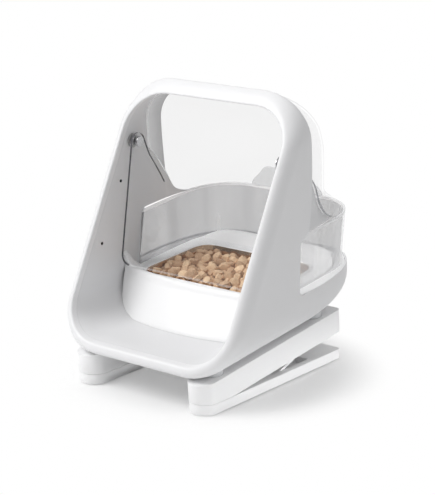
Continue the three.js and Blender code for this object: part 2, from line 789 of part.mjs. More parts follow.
function rearHood() {
  const keep = new THREE.Shape();
  keep.moveTo(hoodFront, hoodSideFoot);
  keep.lineTo(hoodSideStart, hoodSideFoot);
  const sweep = hoodSideEnd - hoodSideStart;
  keep.bezierCurveTo(hoodSideStart + sweep * hoodUpperShare, wingCurveTop,
    hoodSideStart + sweep * hoodLowerShare, hoodFoot, hoodSideEnd, hoodFoot);
  keep.lineTo(bodyRear + overrun, hoodFoot);
  keep.lineTo(bodyRear + overrun, portalTop + overrun);
  keep.lineTo(hoodFront, portalTop + overrun);
  const tab = prismY(polygon([
    [-tabHalf, hoodFoot], [tabHalf, hoodFoot],
    [tabTopHalf, hoodFoot + tabRise], [-tabTopHalf, hoodFoot + tabRise],
  ]), guardRearTop - clearSkin, guardRearTop);
  return hoodVolume(0).subtract(hoodVolume(clearSkin))
    .intersect(prismX(keep, -portalWidth, portalWidth))
    .add(tab);
}

// Places on the swing of the lid: an angle from straight down, towards the rear
function swing(angle, radius) {
  return [pivotY + radius * Math.sin(angle), pivotZ - radius * Math.cos(angle)];
}

// Swing lid: two side arms and a curved cover with round rear corners
const armWidth = 2.4;
const armHub = 9;
const armRearAngle = THREE.MathUtils.degToRad(30);
const armRearReach = 52;
const armFootAngle = THREE.MathUtils.degToRad(6);
const coverSteps = 14;
const coverRearCorner = 44;

function lidArc(radius) {
  const points = [];
  for (let i = 0; i <= coverSteps; i += 1) {
    points.push(swing(lidFrontAngle + (lidRearAngle - lidFrontAngle) * (i / coverSteps), radius));
  }
  return points;
}

function swingLid() {
  const half = lidWidth / 2;
  const cover = prismX(polygon([...lidArc(lidRadius), ...lidArc(lidRadius - clearSkin).reverse()]), -half, half);
  const rearEdge = swing(lidRearAngle, lidRadius)[0];
  const plan = roundedShape(-half, half, -overrun, rearEdge, coverRearCorner);
  const arm = polygon([
    swing(lidFrontAngle - Math.PI / 2, armHub),
    ...lidArc(lidRadius).filter((p) => p[0] <= swing(armFootAngle, lidRadius)[0]),
    swing(armFootAngle, lidRadius),
    swing(armRearAngle, armRearReach),
    swing(armRearAngle + Math.PI / 2, armHub),
  ]);
  const armAt = (from, to) => prismX(arm, from, to).add(rod('x', armHub, from, to, pivotY, pivotZ))
    .subtract(rod('x', pinRadius + fitGap, from - overrun, to + overrun, pivotY, pivotZ));
  return cover.intersect(prismZ(plan, 0, pivotZ))
    .add(armAt(-half, armWidth - half))
    .add(armAt(half - armWidth, half));
}

// Pivot pins, each with a round head on the lid's inner side, and the bushes in the liner
const pinHeadRadius = 6;
const pinHeadThickness = 3;
const bushFlange = 8;
const bushFlangeThickness = 2;
const gearWidth = 2.4;
const gearStandOff = 1;
const gearInner = linerOuterHalf + gearStandOff;

function pivotPin(side) {
  const head = lidWidth / 2 - armWidth - fitGap;
  const pin = rod('x', pinRadius, head - pinHeadThickness / 2, gearInner + gearWidth, pivotY, pivotZ)
    .add(rod('x', pinHeadRadius, head - pinHeadThickness, head, pivotY, pivotZ, 32));
  return side > 0 ? pin : pin.scale([-1, 1, 1]);
}

function pivotBush(side) {
  const inner = lidWidth / 2 + fitGap;
  const bush = rod('x', pinRadius + skin, inner, linerOuterHalf + fitGap, pivotY, pivotZ)
    .add(rod('x', bushFlange, openingHalf - fitGap - bushFlangeThickness, openingHalf - fitGap, pivotY, pivotZ, 28))
    .subtract(rod('x', pinRadius + fitGap, inner - overrun, portalWidth, pivotY, pivotZ));
  return side > 0 ? bush : bush.scale([-1, 1, 1]);
}

// Gears: involute teeth
const gearModule = 1;
const sectorTeeth = 48;
const pinionTeeth = 10;
const pressure = THREE.MathUtils.degToRad(20);
const backlash = 0.22;
const addendumShare = 0.85;
const dedendumShare = 1.25;
const pinionBearing = THREE.MathUtils.degToRad(20);
const sectorSpread = THREE.MathUtils.degToRad(36);
const sectorBearing = THREE.MathUtils.degToRad(3);
const sectorHub = 7;
const wedgeShare = 1.3;
const centreDistance = gearModule * (sectorTeeth + pinionTeeth) / 2;

function toothOutline(teeth, turn, centreY, centreZ) {
  const pitchRadius = gearModule * teeth / 2;
  const base = pitchRadius * Math.cos(pressure);
  const root = pitchRadius - dedendumShare * gearModule;
  const tip = pitchRadius + addendumShare * gearModule;
  const involute = (radius) => {
    const angle = Math.acos(Math.min(1, base / radius));
    return Math.tan(angle) - angle;
  };
  const halfAtPitch = Math.PI / (2 * teeth) - backlash / (2 * pitchRadius);
  const half = (radius) => halfAtPitch + involute(pitchRadius) - involute(Math.max(base, radius));
  const radii = [root, Math.max(base, root + backlash), pitchRadius, tip];
  const points = [];
  for (let tooth = 0; tooth < teeth; tooth += 1) {
    const middle = turn + tooth * 2 * Math.PI / teeth;
    for (const radius of radii) points.push([radius, middle - half(radius)]);
    for (const radius of [...radii].reverse()) points.push([radius, middle + half(radius)]);
  }
  return polygon(points.map(([radius, angle]) => [
    centreY + radius * Math.cos(angle), centreZ + radius * Math.sin(angle)]));
}

const [pinionY, pinionZ] = swing(pinionBearing, centreDistance);

function driveGear() {
  const reach = centreDistance;
  const wedge = polygon([
    swing(sectorBearing + Math.PI, sectorHub),
    swing(sectorBearing - sectorSpread, reach),
    swing(sectorBearing, reach * wedgeShare),
    swing(sectorBearing + sectorSpread, reach),
  ]);
  const from = gearInner;
  const to = gearInner + gearWidth;
  return prismX(toothOutline(sectorTeeth, pinionBearing - Math.PI / 2, pivotY, pivotZ), from, to)
    .intersect(prismX(wedge, from - overrun, to + overrun))
    .add(rod('x', sectorHub, from, to, pivotY, pivotZ))
    .subtract(rod('x', pinRadius + fitGap, from - overrun, to + overrun, pivotY, pivotZ));
}

const motorShaft = 1;

function motorPinion() {
  const turn = pinionBearing + Math.PI / 2 + Math.PI / pinionTeeth;
  return prismX(toothOutline(pinionTeeth, turn, pinionY, pinionZ), gearInner, gearInner + gearWidth)
    .subtract(rod('x', motorShaft + fitGap, gearInner - overrun, gearInner + overrun, pinionY, pinionZ, 14));
}

// Flat geared motor in the right wall, screwed to two bosses on the liner
const motorFront = gearInner + gearWidth + runGap;
const motorBack = portalHalf - skin - runGap;
const motorRadius = 14;
const motorEar = 18;
const motorEarRadius = 3.4;
const motorEarThickness = 1.6;
const motorBoss = 3;
const smallScrew = 1;
const smallScrewHead = 2;
const smallScrewHeadThickness = 1.3;
const motorScrewPlaces = [0, Math.PI / 2].map((turn) => [
  pinionY + motorEar * Math.sin(pinionBearing - turn), pinionZ - motorEar * Math.cos(pinionBearing - turn)]);

function lidMotor() {
  let body = rod('x', motorRadius, motorFront, motorBack, pinionY, pinionZ, 32)
    .add(rod('x', motorShaft, gearInner + fitGap, motorBack - skin, pinionY, pinionZ, 12));
  for (const [y, z] of motorScrewPlaces) {
    const [midY, midZ] = [(y + pinionY) / 2, (z + pinionZ) / 2];
    body = body.add(rod('x', motorEarRadius, motorFront, motorFront + motorEarThickness, y, z, 16))
      .add(block(motorFront, motorFront + motorEarThickness, Math.min(y, midY), Math.max(y, midY) + motorEarRadius / 2,
        Math.min(z, midZ), Math.max(z, midZ) + motorEarRadius / 2));
  }
  return body.subtract(joined(motorScrewPlaces.map(([y, z]) => rod('x', smallScrew + fitGap,
    motorFront - overrun, motorFront + overrun, y, z, 12))));
}

function motorScrew([y, z]) {
  const seat = motorFront + motorEarThickness + fitGap;
  return rod('x', smallScrew, linerOuterHalf + skin / 2, seat + smallScrewHeadThickness / 2, y, z, 10)
    .add(rod('x', smallScrewHead, seat, seat + smallScrewHeadThickness, y, z, 14));
}

// Infrared windows in the liner
function irWindow(side, y, z) {
  const depth = skin + irRadius;
  const window = rod('x', irRadius, openingHalf - fitGap, openingHalf + depth, y, z, 14);
  return side > 0 ? window : window.scale([-1, 1, 1]);
}

// Base plate, battery tray, cells, contacts and door
const cellRadius = 7.1;
const cellLength = 49.5;
const cellNub = 1;
const cellNubRadius = 2.6;
const cellPitch = 15;
const cellCount = 4;
const contactThickness = 0.6;
const trayWall = 1.5;
const traySetBack = 86;
const trayFront = basePlateFront + traySetBack;
const trayTop = 48.6;
const trayHalf = cellCount * cellPitch / 2 + fitGap + trayWall;
const cellFront = trayFront + trayWall + fitGap * 2 + contactThickness;
const cellRear = cellFront + cellLength + cellNub;
const trayRear = cellRear + fitGap * 2 + contactThickness + trayWall;
const plateTop = portalBottom + plateThickness;
const doorInset = 3;
const boardSetBack = 10;
const boardLength = 52;
const boardFront = basePlateFront + boardSetBack;
const boardRear = boardFront + boardLength;
const boardHalf = 40;
const boardLift = 3;
const boardPostRadius = 3;
const boardBottom = plateTop + boardLift;
const boardPosts = [[-1, -1], [1, -1], [-1, 1], [1, 1]].map(([a, b]) => [
  a * (boardHalf - boardPostRadius), (boardFront + boardRear) / 2 + b * ((boardRear - boardFront) / 2 - boardPostRadius)]);

const trayOutline = (margin) => roundedShape(-trayHalf - margin, trayHalf + margin,
  trayFront - margin, trayRear + margin, skin + margin / 2);

function basePlate() {
  return prismZ(basePlateOutline(0), portalBottom, plateTop, 4)
    .add(joined(boardPosts.map(([x, y]) => rod('z', boardPostRadius, plateTop - skin / 4, boardBottom - fitGap, x, y, 12))))
    .subtract(prismZ(trayOutline(-doorInset), portalBottom - overrun, plateTop + overrun / 4, 3))
    .subtract(joined(baseScrewPlaces.map(([, x, y]) => rod('z', screwRadius + fitGap,
      portalBottom - overrun, plateTop + overrun / 4, x, y, 12))))
    .subtract(joined(boardPosts.map(([x, y]) => rod('z', smallScrew + fitGap / 2,
      plateTop, boardBottom + overrun / 4, x, y, 10))));
}

function batteryTray() {
  return prismZ(trayOutline(0), plateTop + fitGap, trayTop, 3)
    .subtract(prismZ(trayOutline(-trayWall), plateTop - overrun, trayTop - trayWall, 3));
}

function batteryDoor() {
  const grip = rod('x', skin, -cellPitch / 2, cellPitch / 2, (trayFront + trayRear) / 2, portalBottom - skin / 2, 12);
  return prismZ(trayOutline(-doorInset - fitGap), portalBottom, plateTop, 3).subtract(grip);
}

function batteryCell(slot) {
  const x = (slot - (cellCount - 1) / 2) * cellPitch;
  const z = trayTop - trayWall - fitGap - cellRadius;
  const flip = slot % 2 === 1;
  const body = flip ? [cellFront + cellNub, cellRear] : [cellFront, cellRear - cellNub];
  return rod('y', cellRadius, body[0], body[1], x, z, 20)
    .add(rod('y', cellNubRadius, cellFront, cellRear, x, z, 10));
}

function batteryContact(y) {
  const half = trayHalf - trayWall - fitGap * 2;
  return block(-half, half, y, y + contactThickness, plateTop + skin, trayTop - trayWall - fitGap);
}

function baseScrew(x, y) {
  const seat = portalBottom - fitGap;
  return rod('z', screwRadius, seat - screwHead / 2, seat + screwLength, x, y, 10)
    .add(rod('z', screwHeadRadius, seat - screwHead, seat, x, y, 16));
}

// Main board with its two largest chips, and the button board
const chipHeight = 1.6;
const chipHalf = 7;
const coilPlugHalf = 4;

function mainBoard() {
  const top = boardBottom + boardThickness;
  const middle = (boardFront + boardRear) / 2;
  return block(-boardHalf, boardHalf, boardFront, boardRear, boardBottom, top)
    .add(block(-chipHalf, chipHalf, middle - chipHalf, middle + chipHalf, top - boardThickness / 2, top + chipHeight))
    .add(block(boardHalf - chipHalf * 2, boardHalf - chipHalf * 2 + coilPlugHalf * 2, boardFront + chipHalf,
      boardFront + chipHalf + coilPlugHalf * 2, top - boardThickness / 2, top + chipHeight * 2))
    .subtract(joined(boardPosts.map(([x, y]) => rod('z', smallScrew + fitGap, boardBottom - overrun,
      top + overrun / 4, x, y, 10))));
}

function boardScrew([x, y]) {
  const seat = boardBottom + boardThickness + fitGap;
  return rod('z', smallScrew, plateTop + skin / 4, seat + smallScrewHeadThickness / 2, x, y, 10)
    .add(rod('z', smallScrewHead, seat, seat + smallScrewHeadThickness, x, y, 12));
}

const buttonProud = 1.6;
const buttonFlange = 6.5;
const switchRise = 3;

function rearFaceAt(z) {
  const fall = portalBottom + shellRearCorner - z;
  return bodyRear - shellRearCorner + Math.sqrt(shellRearCorner ** 2 - fall ** 2);
}

function pairingButton() {
  const face = rearFaceAt(rearPanelZ);
  const innerFace = buttonBoardRear + switchRise + fitGap + buttonTravel;
  return rod('y', buttonRadius, innerFace, face + buttonProud, buttonX, rearPanelZ, 24);
}

const buttonTravel = 1.5;

function buttonBoard() {
  const board = buttonBoardRear - boardThickness;
  return block(lensX - buttonX / 2 - postRadius * 2, lensX + buttonX + postRadius * 2, board, buttonBoardRear,
    rearPanelZ - buttonFlange, rearPanelZ + buttonFlange)
    .add(rod('y', buttonRadius - skin, board + boardThickness / 2, buttonBoardRear + switchRise, buttonX, rearPanelZ, 16));
}

function statusLens() {
  return rod('y', lensRadius, buttonBoardRear + fitGap, rearFaceAt(rearPanelZ) + fitGap, lensX, rearPanelZ, 16);
}

// Risers: an upper arm clipped under the body, a lower arm hinged near its front,
// and a prop that stands in the lower arm's trough and holds the two apart
const riserInner = riserOuter - riserWidth;
const riserMiddle = riserOuter - riserWidth / 2;
const riserRearCorner = 6;
const lugHalf = 5;
const lugRadius = 5;
const hingePinRadius = 2;
const pinInset = 4;
const troughHalf = 9;
const troughFrontReach = 78;
const troughLength = 68;
const troughFront = riserPivotY + troughFrontReach;
const troughRear = troughFront + troughLength;
const troughDepth = 8;
const propReach = 84;
const propY = riserPivotY + propReach;
const propDrop = 4;
const propLength = 50;
const propHalf = troughHalf - runGap;
const propThickness = 3;
const propPinRadius = 1;
const footPadRadius = 9;
const footPadDepth = 2.7;
const footPadInset = 22;
const riserRear = riserFront + riserLength;
const footPadPlaces = [['front', footPadInset], ['rear', riserRear - footPadInset]];
const topPadRadius = 11;
const topPadSeat = 1.5;
const topPadInset = 34;
const topPadPlaces = [['front', topPadInset], ['rear', riserRear - topPadInset]];
const topPadReach = 18;

const hingeGround = new THREE.Vector3(0, riserPivotY, riserPivotRise).applyMatrix4(frameTilt);
const hingeZ = hingeGround.z + bodyLift;
const hingeY = hingeGround.y;
const lowerTop = hingeZ - riserPivotRise - fitGap;
const propZ = lowerTop - propDrop;
const propLean = tiltAngle + Math.asin((propY * Math.sin(tiltAngle) - (propZ - bodyLift) * Math.cos(tiltAngle)
  - propThickness / 2 - fitGap) / propLength);

function riserPlan(front, rear) {
  const radius = riserWidth / 2;
  const shape = new THREE.Shape();
  shape.moveTo(riserInner, front + radius);
  shape.absarc(riserMiddle, front + radius, radius, Math.PI, 2 * Math.PI);
  shape.lineTo(riserOuter, rear - riserRearCorner);
  shape.absarc(riserOuter - riserRearCorner, rear - riserRearCorner, riserRearCorner, 0, Math.PI / 2);
  shape.lineTo(riserInner + riserRearCorner, rear);
  shape.absarc(riserInner + riserRearCorner, rear - riserRearCorner, riserRearCorner, Math.PI / 2, Math.PI);
  return shape;
}

const toBody = new THREE.Matrix4().makeTranslation(0, 0, bodyLift).multiply(frameTilt).invert();

function groundBlockInBody(x0, x1, y0, y1, z0, z1) {
  const geometry = new THREE.BoxGeometry(x1 - x0, y1 - y0, z1 - z0);
  geometry.translate((x0 + x1) / 2, (y0 + y1) / 2, (z0 + z1) / 2);
  geometry.applyMatrix4(toBody);
  return solid(geometry);
}

const mirrored = (body, side) => (side > 0 ? body : body.scale([-1, 1, 1]));

function upperArm(side) {
  const slot = lugRadius + runGap;
  const arm = prismZ(riserPlan(riserFront, riserRear), 0, riserHeight)
    .subtract(groundBlockInBody(riserInner - overrun, riserOuter + overrun, -overrun, hingeY,
      -overrun, lowerTop + fitGap))
    .subtract(block(riserMiddle - lugHalf - runGap, riserMiddle + lugHalf + runGap,
      riserPivotY - slot, riserPivotY + slot, -overrun, riserPivotRise + slot))
    .subtract(rod('x', hingePinRadius + fitGap, riserInner + pinInset, riserOuter - pinInset,
      riserPivotY, riserPivotRise, 16))
    .subtract(joined(topPadPlaces.map(([, y]) => rod('z', topPadRadius + fitGap,
      riserHeight - topPadSeat - fitGap, riserHeight + overrun, riserMiddle, y, 28))));
  return mirrored(arm, side);
}

function lowerArm(side) {
  const front = riserFront * Math.cos(tiltAngle);
  const arm = prismZ(riserPlan(front, front + riserLength * Math.cos(tiltAngle)), footPadHeight, lowerTop)
    .add(rod('x', lugRadius, riserMiddle - lugHalf, riserMiddle + lugHalf, hingeY, hingeZ, 24))
    .add(block(riserMiddle - lugHalf, riserMiddle + lugHalf, hingeY - lugRadius + skin / 4,
      hingeY + lugRadius - skin / 4, lowerTop - skin, hingeZ - skin))
    .subtract(rod('x', hingePinRadius + fitGap, riserMiddle - overrun, riserMiddle + overrun, hingeY, hingeZ, 16))
    .subtract(block(riserMiddle - troughHalf, riserMiddle + troughHalf, troughFront, troughRear,
      lowerTop - troughDepth, lowerTop + overrun))
    .subtract(rod('x', propPinRadius + fitGap, riserMiddle - troughHalf - skin, riserMiddle + troughHalf + skin,
      propY, propZ, 12))
    .subtract(joined(footPadPlaces.map(([, y]) => rod('z', footPadRadius + fitGap, -overrun,
      footPadDepth + fitGap, riserMiddle, y, 28))));
  return mirrored(arm, side);
}

function hingePin(side) {
  return mirrored(rod('x', hingePinRadius, riserInner + pinInset + fitGap, riserOuter - pinInset - fitGap,
    riserPivotY, riserPivotRise, 16), side);
}

function prop(side) {
  const geometry = new THREE.BoxGeometry(propHalf * 2, propLength, propThickness);
  geometry.translate(riserMiddle, propLength / 2, 0);
  const eye = solid(geometry)
    .add(rod('x', propThickness / 2, riserMiddle - propHalf, riserMiddle + propHalf, 0, 0, 12))
    .add(rod('x', propThickness / 2, riserMiddle - propHalf, riserMiddle + propHalf, propLength, 0, 12))
    .subtract(rod('x', propPinRadius + fitGap / 2, riserMiddle - overrun, riserMiddle + overrun, 0, 0, 12));
  const turned = eye.rotate([THREE.MathUtils.radToDeg(propLean), 0, 0]).translate([0, propY, propZ]);
  return mirrored(turned, side);
}

function propPin(side) {
  return mirrored(rod('x', propPinRadius, riserMiddle - troughHalf - skin + fitGap,
    riserMiddle + troughHalf + skin - fitGap, propY, propZ, 12), side);
}

function footPad(side, y) {
  return mirrored(rod('z', footPadRadius, 0, footPadDepth, riserMiddle, y, 28), side);
}

function topPad(side, y) {
  const pad = rod('z', topPadRadius, riserHeight - topPadSeat, riserHeight + topPadReach, riserMiddle, y, 28)
    .subtract(shellVolume(fitGap, true));
  return mirrored(pad, side);
}

// Assembly: the tilted feeder, and the lower arms flat on the ground
const parts = new THREE.Group();
const feeder = new THREE.Group();
feeder.rotation.x = tiltAngle;
feeder.position.z = bodyLift;
parts.add(feeder);
const ground = new THREE.Group();
parts.add(ground);

function place(group, name, body, material) {
  const mesh = new THREE.Mesh(geometryOf(body), material());
  mesh.name = name;
  group.add(mesh);
}

place(feeder, 'outer_shell', outerShell(), white);
place(feeder, 'inner_liner', innerLiner(), white);
place(feeder, 'bowl_housing', bowlHousing(), white);
place(feeder, 'food_bowl', foodBowl(), steel);
place(feeder, 'kibble_bed', kibbleBed(), kibbleBrown);
place(feeder, 'rear_guard', rearGuard(), clear);
place(feeder, 'rear_hood', rearHood(), clear);
place(feeder, 'swing_lid', swingLid(), clear);
place(feeder, 'drive_gear', driveGear(), greyPlastic);
place(feeder, 'motor_pinion', motorPinion(), brass);
place(feeder, 'lid_motor', lidMotor(), steel);
motorScrewPlaces.forEach((spot, i) => place(feeder, `motor_screw_${i + 1}`, motorScrew(spot), steel));
place(feeder, 'antenna_coil', coilBand(0, -ringBack, -ringBack + coilDepth), copper);
place(feeder, 'main_board', mainBoard(), boardGreen);
place(feeder, 'board_screw_left', boardScrew(boardPosts[0]), steel);
place(feeder, 'board_screw_right', boardScrew(boardPosts[1]), steel);
place(feeder, 'base_plate', basePlate(), white);
baseScrewPlaces.forEach(([name, x, y]) => place(feeder, `base_screw_${name}`, baseScrew(x, y), steel));
place(feeder, 'battery_tray', batteryTray(), greyPlastic);
place(feeder, 'battery_door', batteryDoor(), white);
for (let slot = 0; slot < cellCount; slot += 1) {
  place(feeder, `battery_cell_${slot + 1}`, batteryCell(slot), steel);
}
place(feeder, 'battery_contact_front', batteryContact(cellFront - fitGap - contactThickness), steel);
place(feeder, 'battery_contact_rear', batteryContact(cellRear + fitGap), steel);
place(feeder, 'pairing_button', pairingButton(), greyPlastic);
place(feeder, 'button_board', buttonBoard(), boardGreen);
place(feeder, 'status_lens', statusLens(), clear);

for (const [side, label] of [[-1, 'left'], [1, 'right']]) {
  place(feeder, `pivot_pin_${label}`, pivotPin(side), steel);
  place(feeder, `pivot_bush_${label}`, pivotBush(side), greyPlastic);
  for (const [level, y, z] of irPlaces) {
    place(feeder, `ir_window_${label}_${level}`, irWindow(side, y, z), blackPlastic);
  }
  place(feeder, `riser_upper_${label}`, upperArm(side), white);
  place(feeder, `riser_hinge_pin_${label}`, hingePin(side), steel);
  for (const [end, y] of topPadPlaces) place(feeder, `riser_pad_${label}_${end}`, topPad(side, y), rubber);
  place(ground, `riser_lower_${label}`, lowerArm(side), white);
  place(ground, `riser_prop_${label}`, prop(side), white);
  place(ground, `prop_pin_${label}`, propPin(side), steel);
  for (const [end, y] of footPadPlaces) place(ground, `foot_pad_${label}_${end}`, footPad(side, y), rubber);
}

// The origin stands under the middle of the whole feeder
const extent = new THREE.Box3().setFromObject(parts, true);
parts.position.y = -(extent.min.y + extent.max.y) / 2;

export default parts;
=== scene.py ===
# %% [markdown]
# Microchip pet feeder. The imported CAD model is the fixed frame: every piece below is
# modelled in the feeder's own level coordinates in millimetres, then laid on its risers.
# The looks to reach are plain: satin white mouldings, thin clear plastic, a steel bowl
# and dry food, under soft studio light.

# %% Load the frame
import json
import math
from contextlib import contextmanager

import bmesh
import bpy
import numpy as np
from mathutils import Matrix, Vector

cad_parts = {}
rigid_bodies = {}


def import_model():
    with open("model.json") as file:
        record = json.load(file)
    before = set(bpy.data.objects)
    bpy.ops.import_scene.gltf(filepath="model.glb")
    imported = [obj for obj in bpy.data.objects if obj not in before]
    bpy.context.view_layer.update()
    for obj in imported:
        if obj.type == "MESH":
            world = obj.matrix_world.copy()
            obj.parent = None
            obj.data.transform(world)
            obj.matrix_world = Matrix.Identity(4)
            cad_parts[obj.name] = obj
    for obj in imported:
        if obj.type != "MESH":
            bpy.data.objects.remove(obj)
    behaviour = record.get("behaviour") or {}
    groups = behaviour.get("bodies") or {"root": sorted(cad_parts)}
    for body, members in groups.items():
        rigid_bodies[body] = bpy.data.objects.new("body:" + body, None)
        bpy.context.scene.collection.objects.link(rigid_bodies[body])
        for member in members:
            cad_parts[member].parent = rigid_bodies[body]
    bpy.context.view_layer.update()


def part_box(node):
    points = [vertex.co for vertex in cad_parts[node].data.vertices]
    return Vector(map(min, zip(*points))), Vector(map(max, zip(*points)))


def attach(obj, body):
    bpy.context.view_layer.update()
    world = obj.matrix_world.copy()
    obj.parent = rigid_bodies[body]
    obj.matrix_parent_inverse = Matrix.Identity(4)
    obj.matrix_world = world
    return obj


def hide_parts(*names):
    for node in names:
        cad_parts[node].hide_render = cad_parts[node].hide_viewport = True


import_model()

# %% [markdown]
# The body of the feeder leans back by six degrees on its risers. Modelling a leaning thing
# is awkward, so each piece is made level and turned as a mesh at the end. The shift along Y
# is read from the frame, so the pieces follow the CAD if it moves.

# %% Frames of the body and of the ground
MM = 0.001
TILT = math.radians(5.98)
LIFT = 8.45
RISER_FRONT = 1.0
arm_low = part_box("riser_lower_left")[0]
SHIFT = arm_low[1] / MM - RISER_FRONT * math.cos(TILT)
GROUND = Matrix.Translation((0, SHIFT * MM, 0)) @ Matrix.Scale(MM, 4)
BODY = (Matrix.Translation((0, SHIFT * MM, LIFT * MM))
        @ Matrix.Rotation(TILT, 4, "X") @ Matrix.Scale(MM, 4))
print("shift along Y in mm:", round(SHIFT, 3))

# %% [markdown]
# The camera repeats the photograph's: it looks down by 15 degrees from the right of the
# front, at a long focal length, so that the leaning opening shows its true outline.

# %% Camera
CAMERA_PLACE = (1083.75, -1243.33, 613.89)
CAMERA_AZIMUTH = math.radians(38.13)
CAMERA_PITCH = math.radians(15.13)
FOCAL_PIXELS = 1643.18
PICTURE_LONG_SIDE = 495
SENSOR = 36.0
scene = bpy.context.scene
lens = bpy.data.cameras.new("studio_camera")
camera = bpy.data.objects.new("studio_camera", lens)
scene.collection.objects.link(camera)
lens.sensor_width = SENSOR
lens.lens = FOCAL_PIXELS / PICTURE_LONG_SIDE * SENSOR
camera.location = GROUND @ Vector(CAMERA_PLACE)
camera.rotation_euler = (math.pi / 2 - CAMERA_PITCH, 0, CAMERA_AZIMUTH)
scene.camera = camera
print("lens in mm:", round(lens.lens, 1))

# %% [markdown]
# A look in Blender is a network of nodes. A few helpers keep each network short: they set or
# link a node's inputs, and add a node, a sum, a change of range or a noise.

# %% Helpers for nodes
def feed(tree, node, inputs):
    """Sets each input to a value, or links it if another node's output is given."""
    for key, value in inputs.items():
        if isinstance(value, bpy.types.NodeSocket):
            tree.links.new(value, node.inputs[key])
        else:
            node.inputs[key].default_value = value


def add(tree, kind, inputs=None, **settings):
    node = tree.nodes.new("ShaderNode" + kind)
    for key, value in settings.items():
        setattr(node, key, value)
    feed(tree, node, inputs or {})
    return node


def calc(tree, operation, *values):
    return add(tree, "Math", dict(enumerate(values)), operation=operation).outputs[0]


def remap(tree, value, start, end, low, high, **settings):
    inputs = {"Value": value, "From Min": start, "From Max": end, "To Min": low, "To Max": high}
    return add(tree, "MapRange", inputs, **settings).outputs[0]


def noise(tree, scale, detail=2.0, stretch=None):
    """Noise over the piece's own place, drawn out along an axis if a stretch is given."""
    place = add(tree, "TexCoord").outputs["Object"]
    if stretch:
        place = add(tree, "Mapping", {"Vector": place, "Scale": stretch}).outputs[0]
    return add(tree, "TexNoise", {"Vector": place, "Scale": scale, "Detail": detail}).outputs["Fac"]


def seen_directly(tree):
    """1 for what the camera sees, straight or through clear things, and 0 for other light."""
    ray = add(tree, "LightPath")
    return calc(tree, "MAXIMUM", ray.outputs["Is Camera Ray"], ray.outputs["Is Transmission Ray"])


def new_material(name):
    made = bpy.data.materials.new(name)
    made.use_nodes = True
    return made, made.node_tree, made.node_tree.nodes["Principled BSDF"]

# %% [markdown]
# A studio is a white sweep, a large soft lamp and bounce from all round. The lamp stands to
# the left and in front, so the faces that look right fall into a light grey, as white
# plastic needs if its shape is to read. A weak strip near the floor lifts the risers' sides.

# %% Studio
scene.view_settings.view_transform = "Standard"
WORLD_LIGHT = 0.465
PURE_WHITE = (1, 1, 1, 1)
LAMPS = [
    # name, place, width and height in metres, power in watts, spread in degrees
    ("key_lamp", (-1.1, -1.5, 2.1), 1.6, 1.6, 44, 180),
    ("top_lamp", (-0.5, 0.5, 2.4), 1.8, 1.8, 9, 180),
    ("low_lamp", (0.50, 0.14, 0.025), 0.4, 0.04, 0.04, 20),
]
AIM_TOP = 0.15
for name, place, width, height, power, cone in LAMPS:
    light = bpy.data.lights.new(name, "AREA")
    light.shape = "ELLIPSE"
    light.size = width
    light.size_y = height
    light.spread = math.radians(cone)
    light.energy = power
    lamp = bpy.data.objects.new(name, light)
    lamp.location = place
    target = Vector((0, 0, min(AIM_TOP, place[2] / 4)))
    lamp.rotation_euler = (target - lamp.location).to_track_quat("-Z", "Y").to_euler()
    scene.collection.objects.link(lamp)
world = bpy.data.worlds.new("studio_world")
scene.world = world
world.use_nodes = True
tree = world.node_tree
tree.nodes.clear()
sky = add(tree, "Background", {"Color": PURE_WHITE, "Strength": WORLD_LIGHT})
white = add(tree, "Background", {"Color": PURE_WHITE, "Strength": 1.0})
mix = add(tree, "MixShader", {0: seen_directly(tree), 1: sky.outputs[0], 2: white.outputs[0]})
add(tree, "OutputWorld", {0: mix.outputs[0]})
print("lamps:", len(LAMPS))

# %% [markdown]
# White mouldings are never one flat white: the mould leaves a fine grain and the resin
# varies a little. One shader group gives both, and every plastic takes it with its own
# values, so the grain keeps one scale over the whole feeder.

# %% Shader group for moulded plastic
GROUP_SOCKETS = (
    ("Tone", "Color", (0.9, 0.9, 0.9, 1)), ("Variation", "Float", 0.02), ("Gloss", "Float", 0.35),
    ("Grain", "Float", 0.05), ("Color", "Color", None), ("Roughness", "Float", None),
    ("Normal", "Vector", None))
CLOUD_SCALE = 9
GRIT_SCALE = 1400
GRIT_ROUGHNESS = 0.08
GRAIN_DEPTH = 0.0001


def grain_group():
    tree = bpy.data.node_groups.new("mould_grain", "ShaderNodeTree")
    for label, kind, value in GROUP_SOCKETS:
        way = "OUTPUT" if value is None else "INPUT"
        socket = tree.interface.new_socket(label, in_out=way, socket_type="NodeSocket" + kind)
        if value is not None:
            socket.default_value = value
    take = tree.nodes.new("NodeGroupInput").outputs
    give = tree.nodes.new("NodeGroupOutput")
    cloud = calc(tree, "SUBTRACT", noise(tree, CLOUD_SCALE, 2), 0.5)
    grit = noise(tree, GRIT_SCALE, 1)
    share = calc(tree, "ADD", calc(tree, "MULTIPLY", cloud, take["Variation"]), 1)
    tone = add(tree, "VectorMath", {0: take["Tone"], "Scale": share}, operation="SCALE")
    bump = add(tree, "Bump", {"Distance": GRAIN_DEPTH, "Strength": take["Grain"], "Height": grit})
    feed(tree, give, {"Color": tone.outputs[0], "Normal": bump.outputs[0],
                      "Roughness": calc(tree, "MULTIPLY_ADD", grit, GRIT_ROUGHNESS, take["Gloss"])})
    return tree


GRAIN = grain_group()


def plastic(name, tone, gloss=0.35, variation=0.02, grain=0.05, metallic=0.0):
    made, tree, shader = new_material(name)
    look = {"Tone": (*tone, 1), "Variation": variation, "Gloss": gloss, "Grain": grain}
    use = add(tree, "Group", look, node_tree=GRAIN).outputs
    feed(tree, shader, {"Base Color": use["Color"], "Roughness": use["Roughness"],
                        "Normal": use["Normal"], "Metallic": metallic})
    return made


print("inputs of the group:", [label for label, kind, value in GROUP_SOCKETS if value is not None])

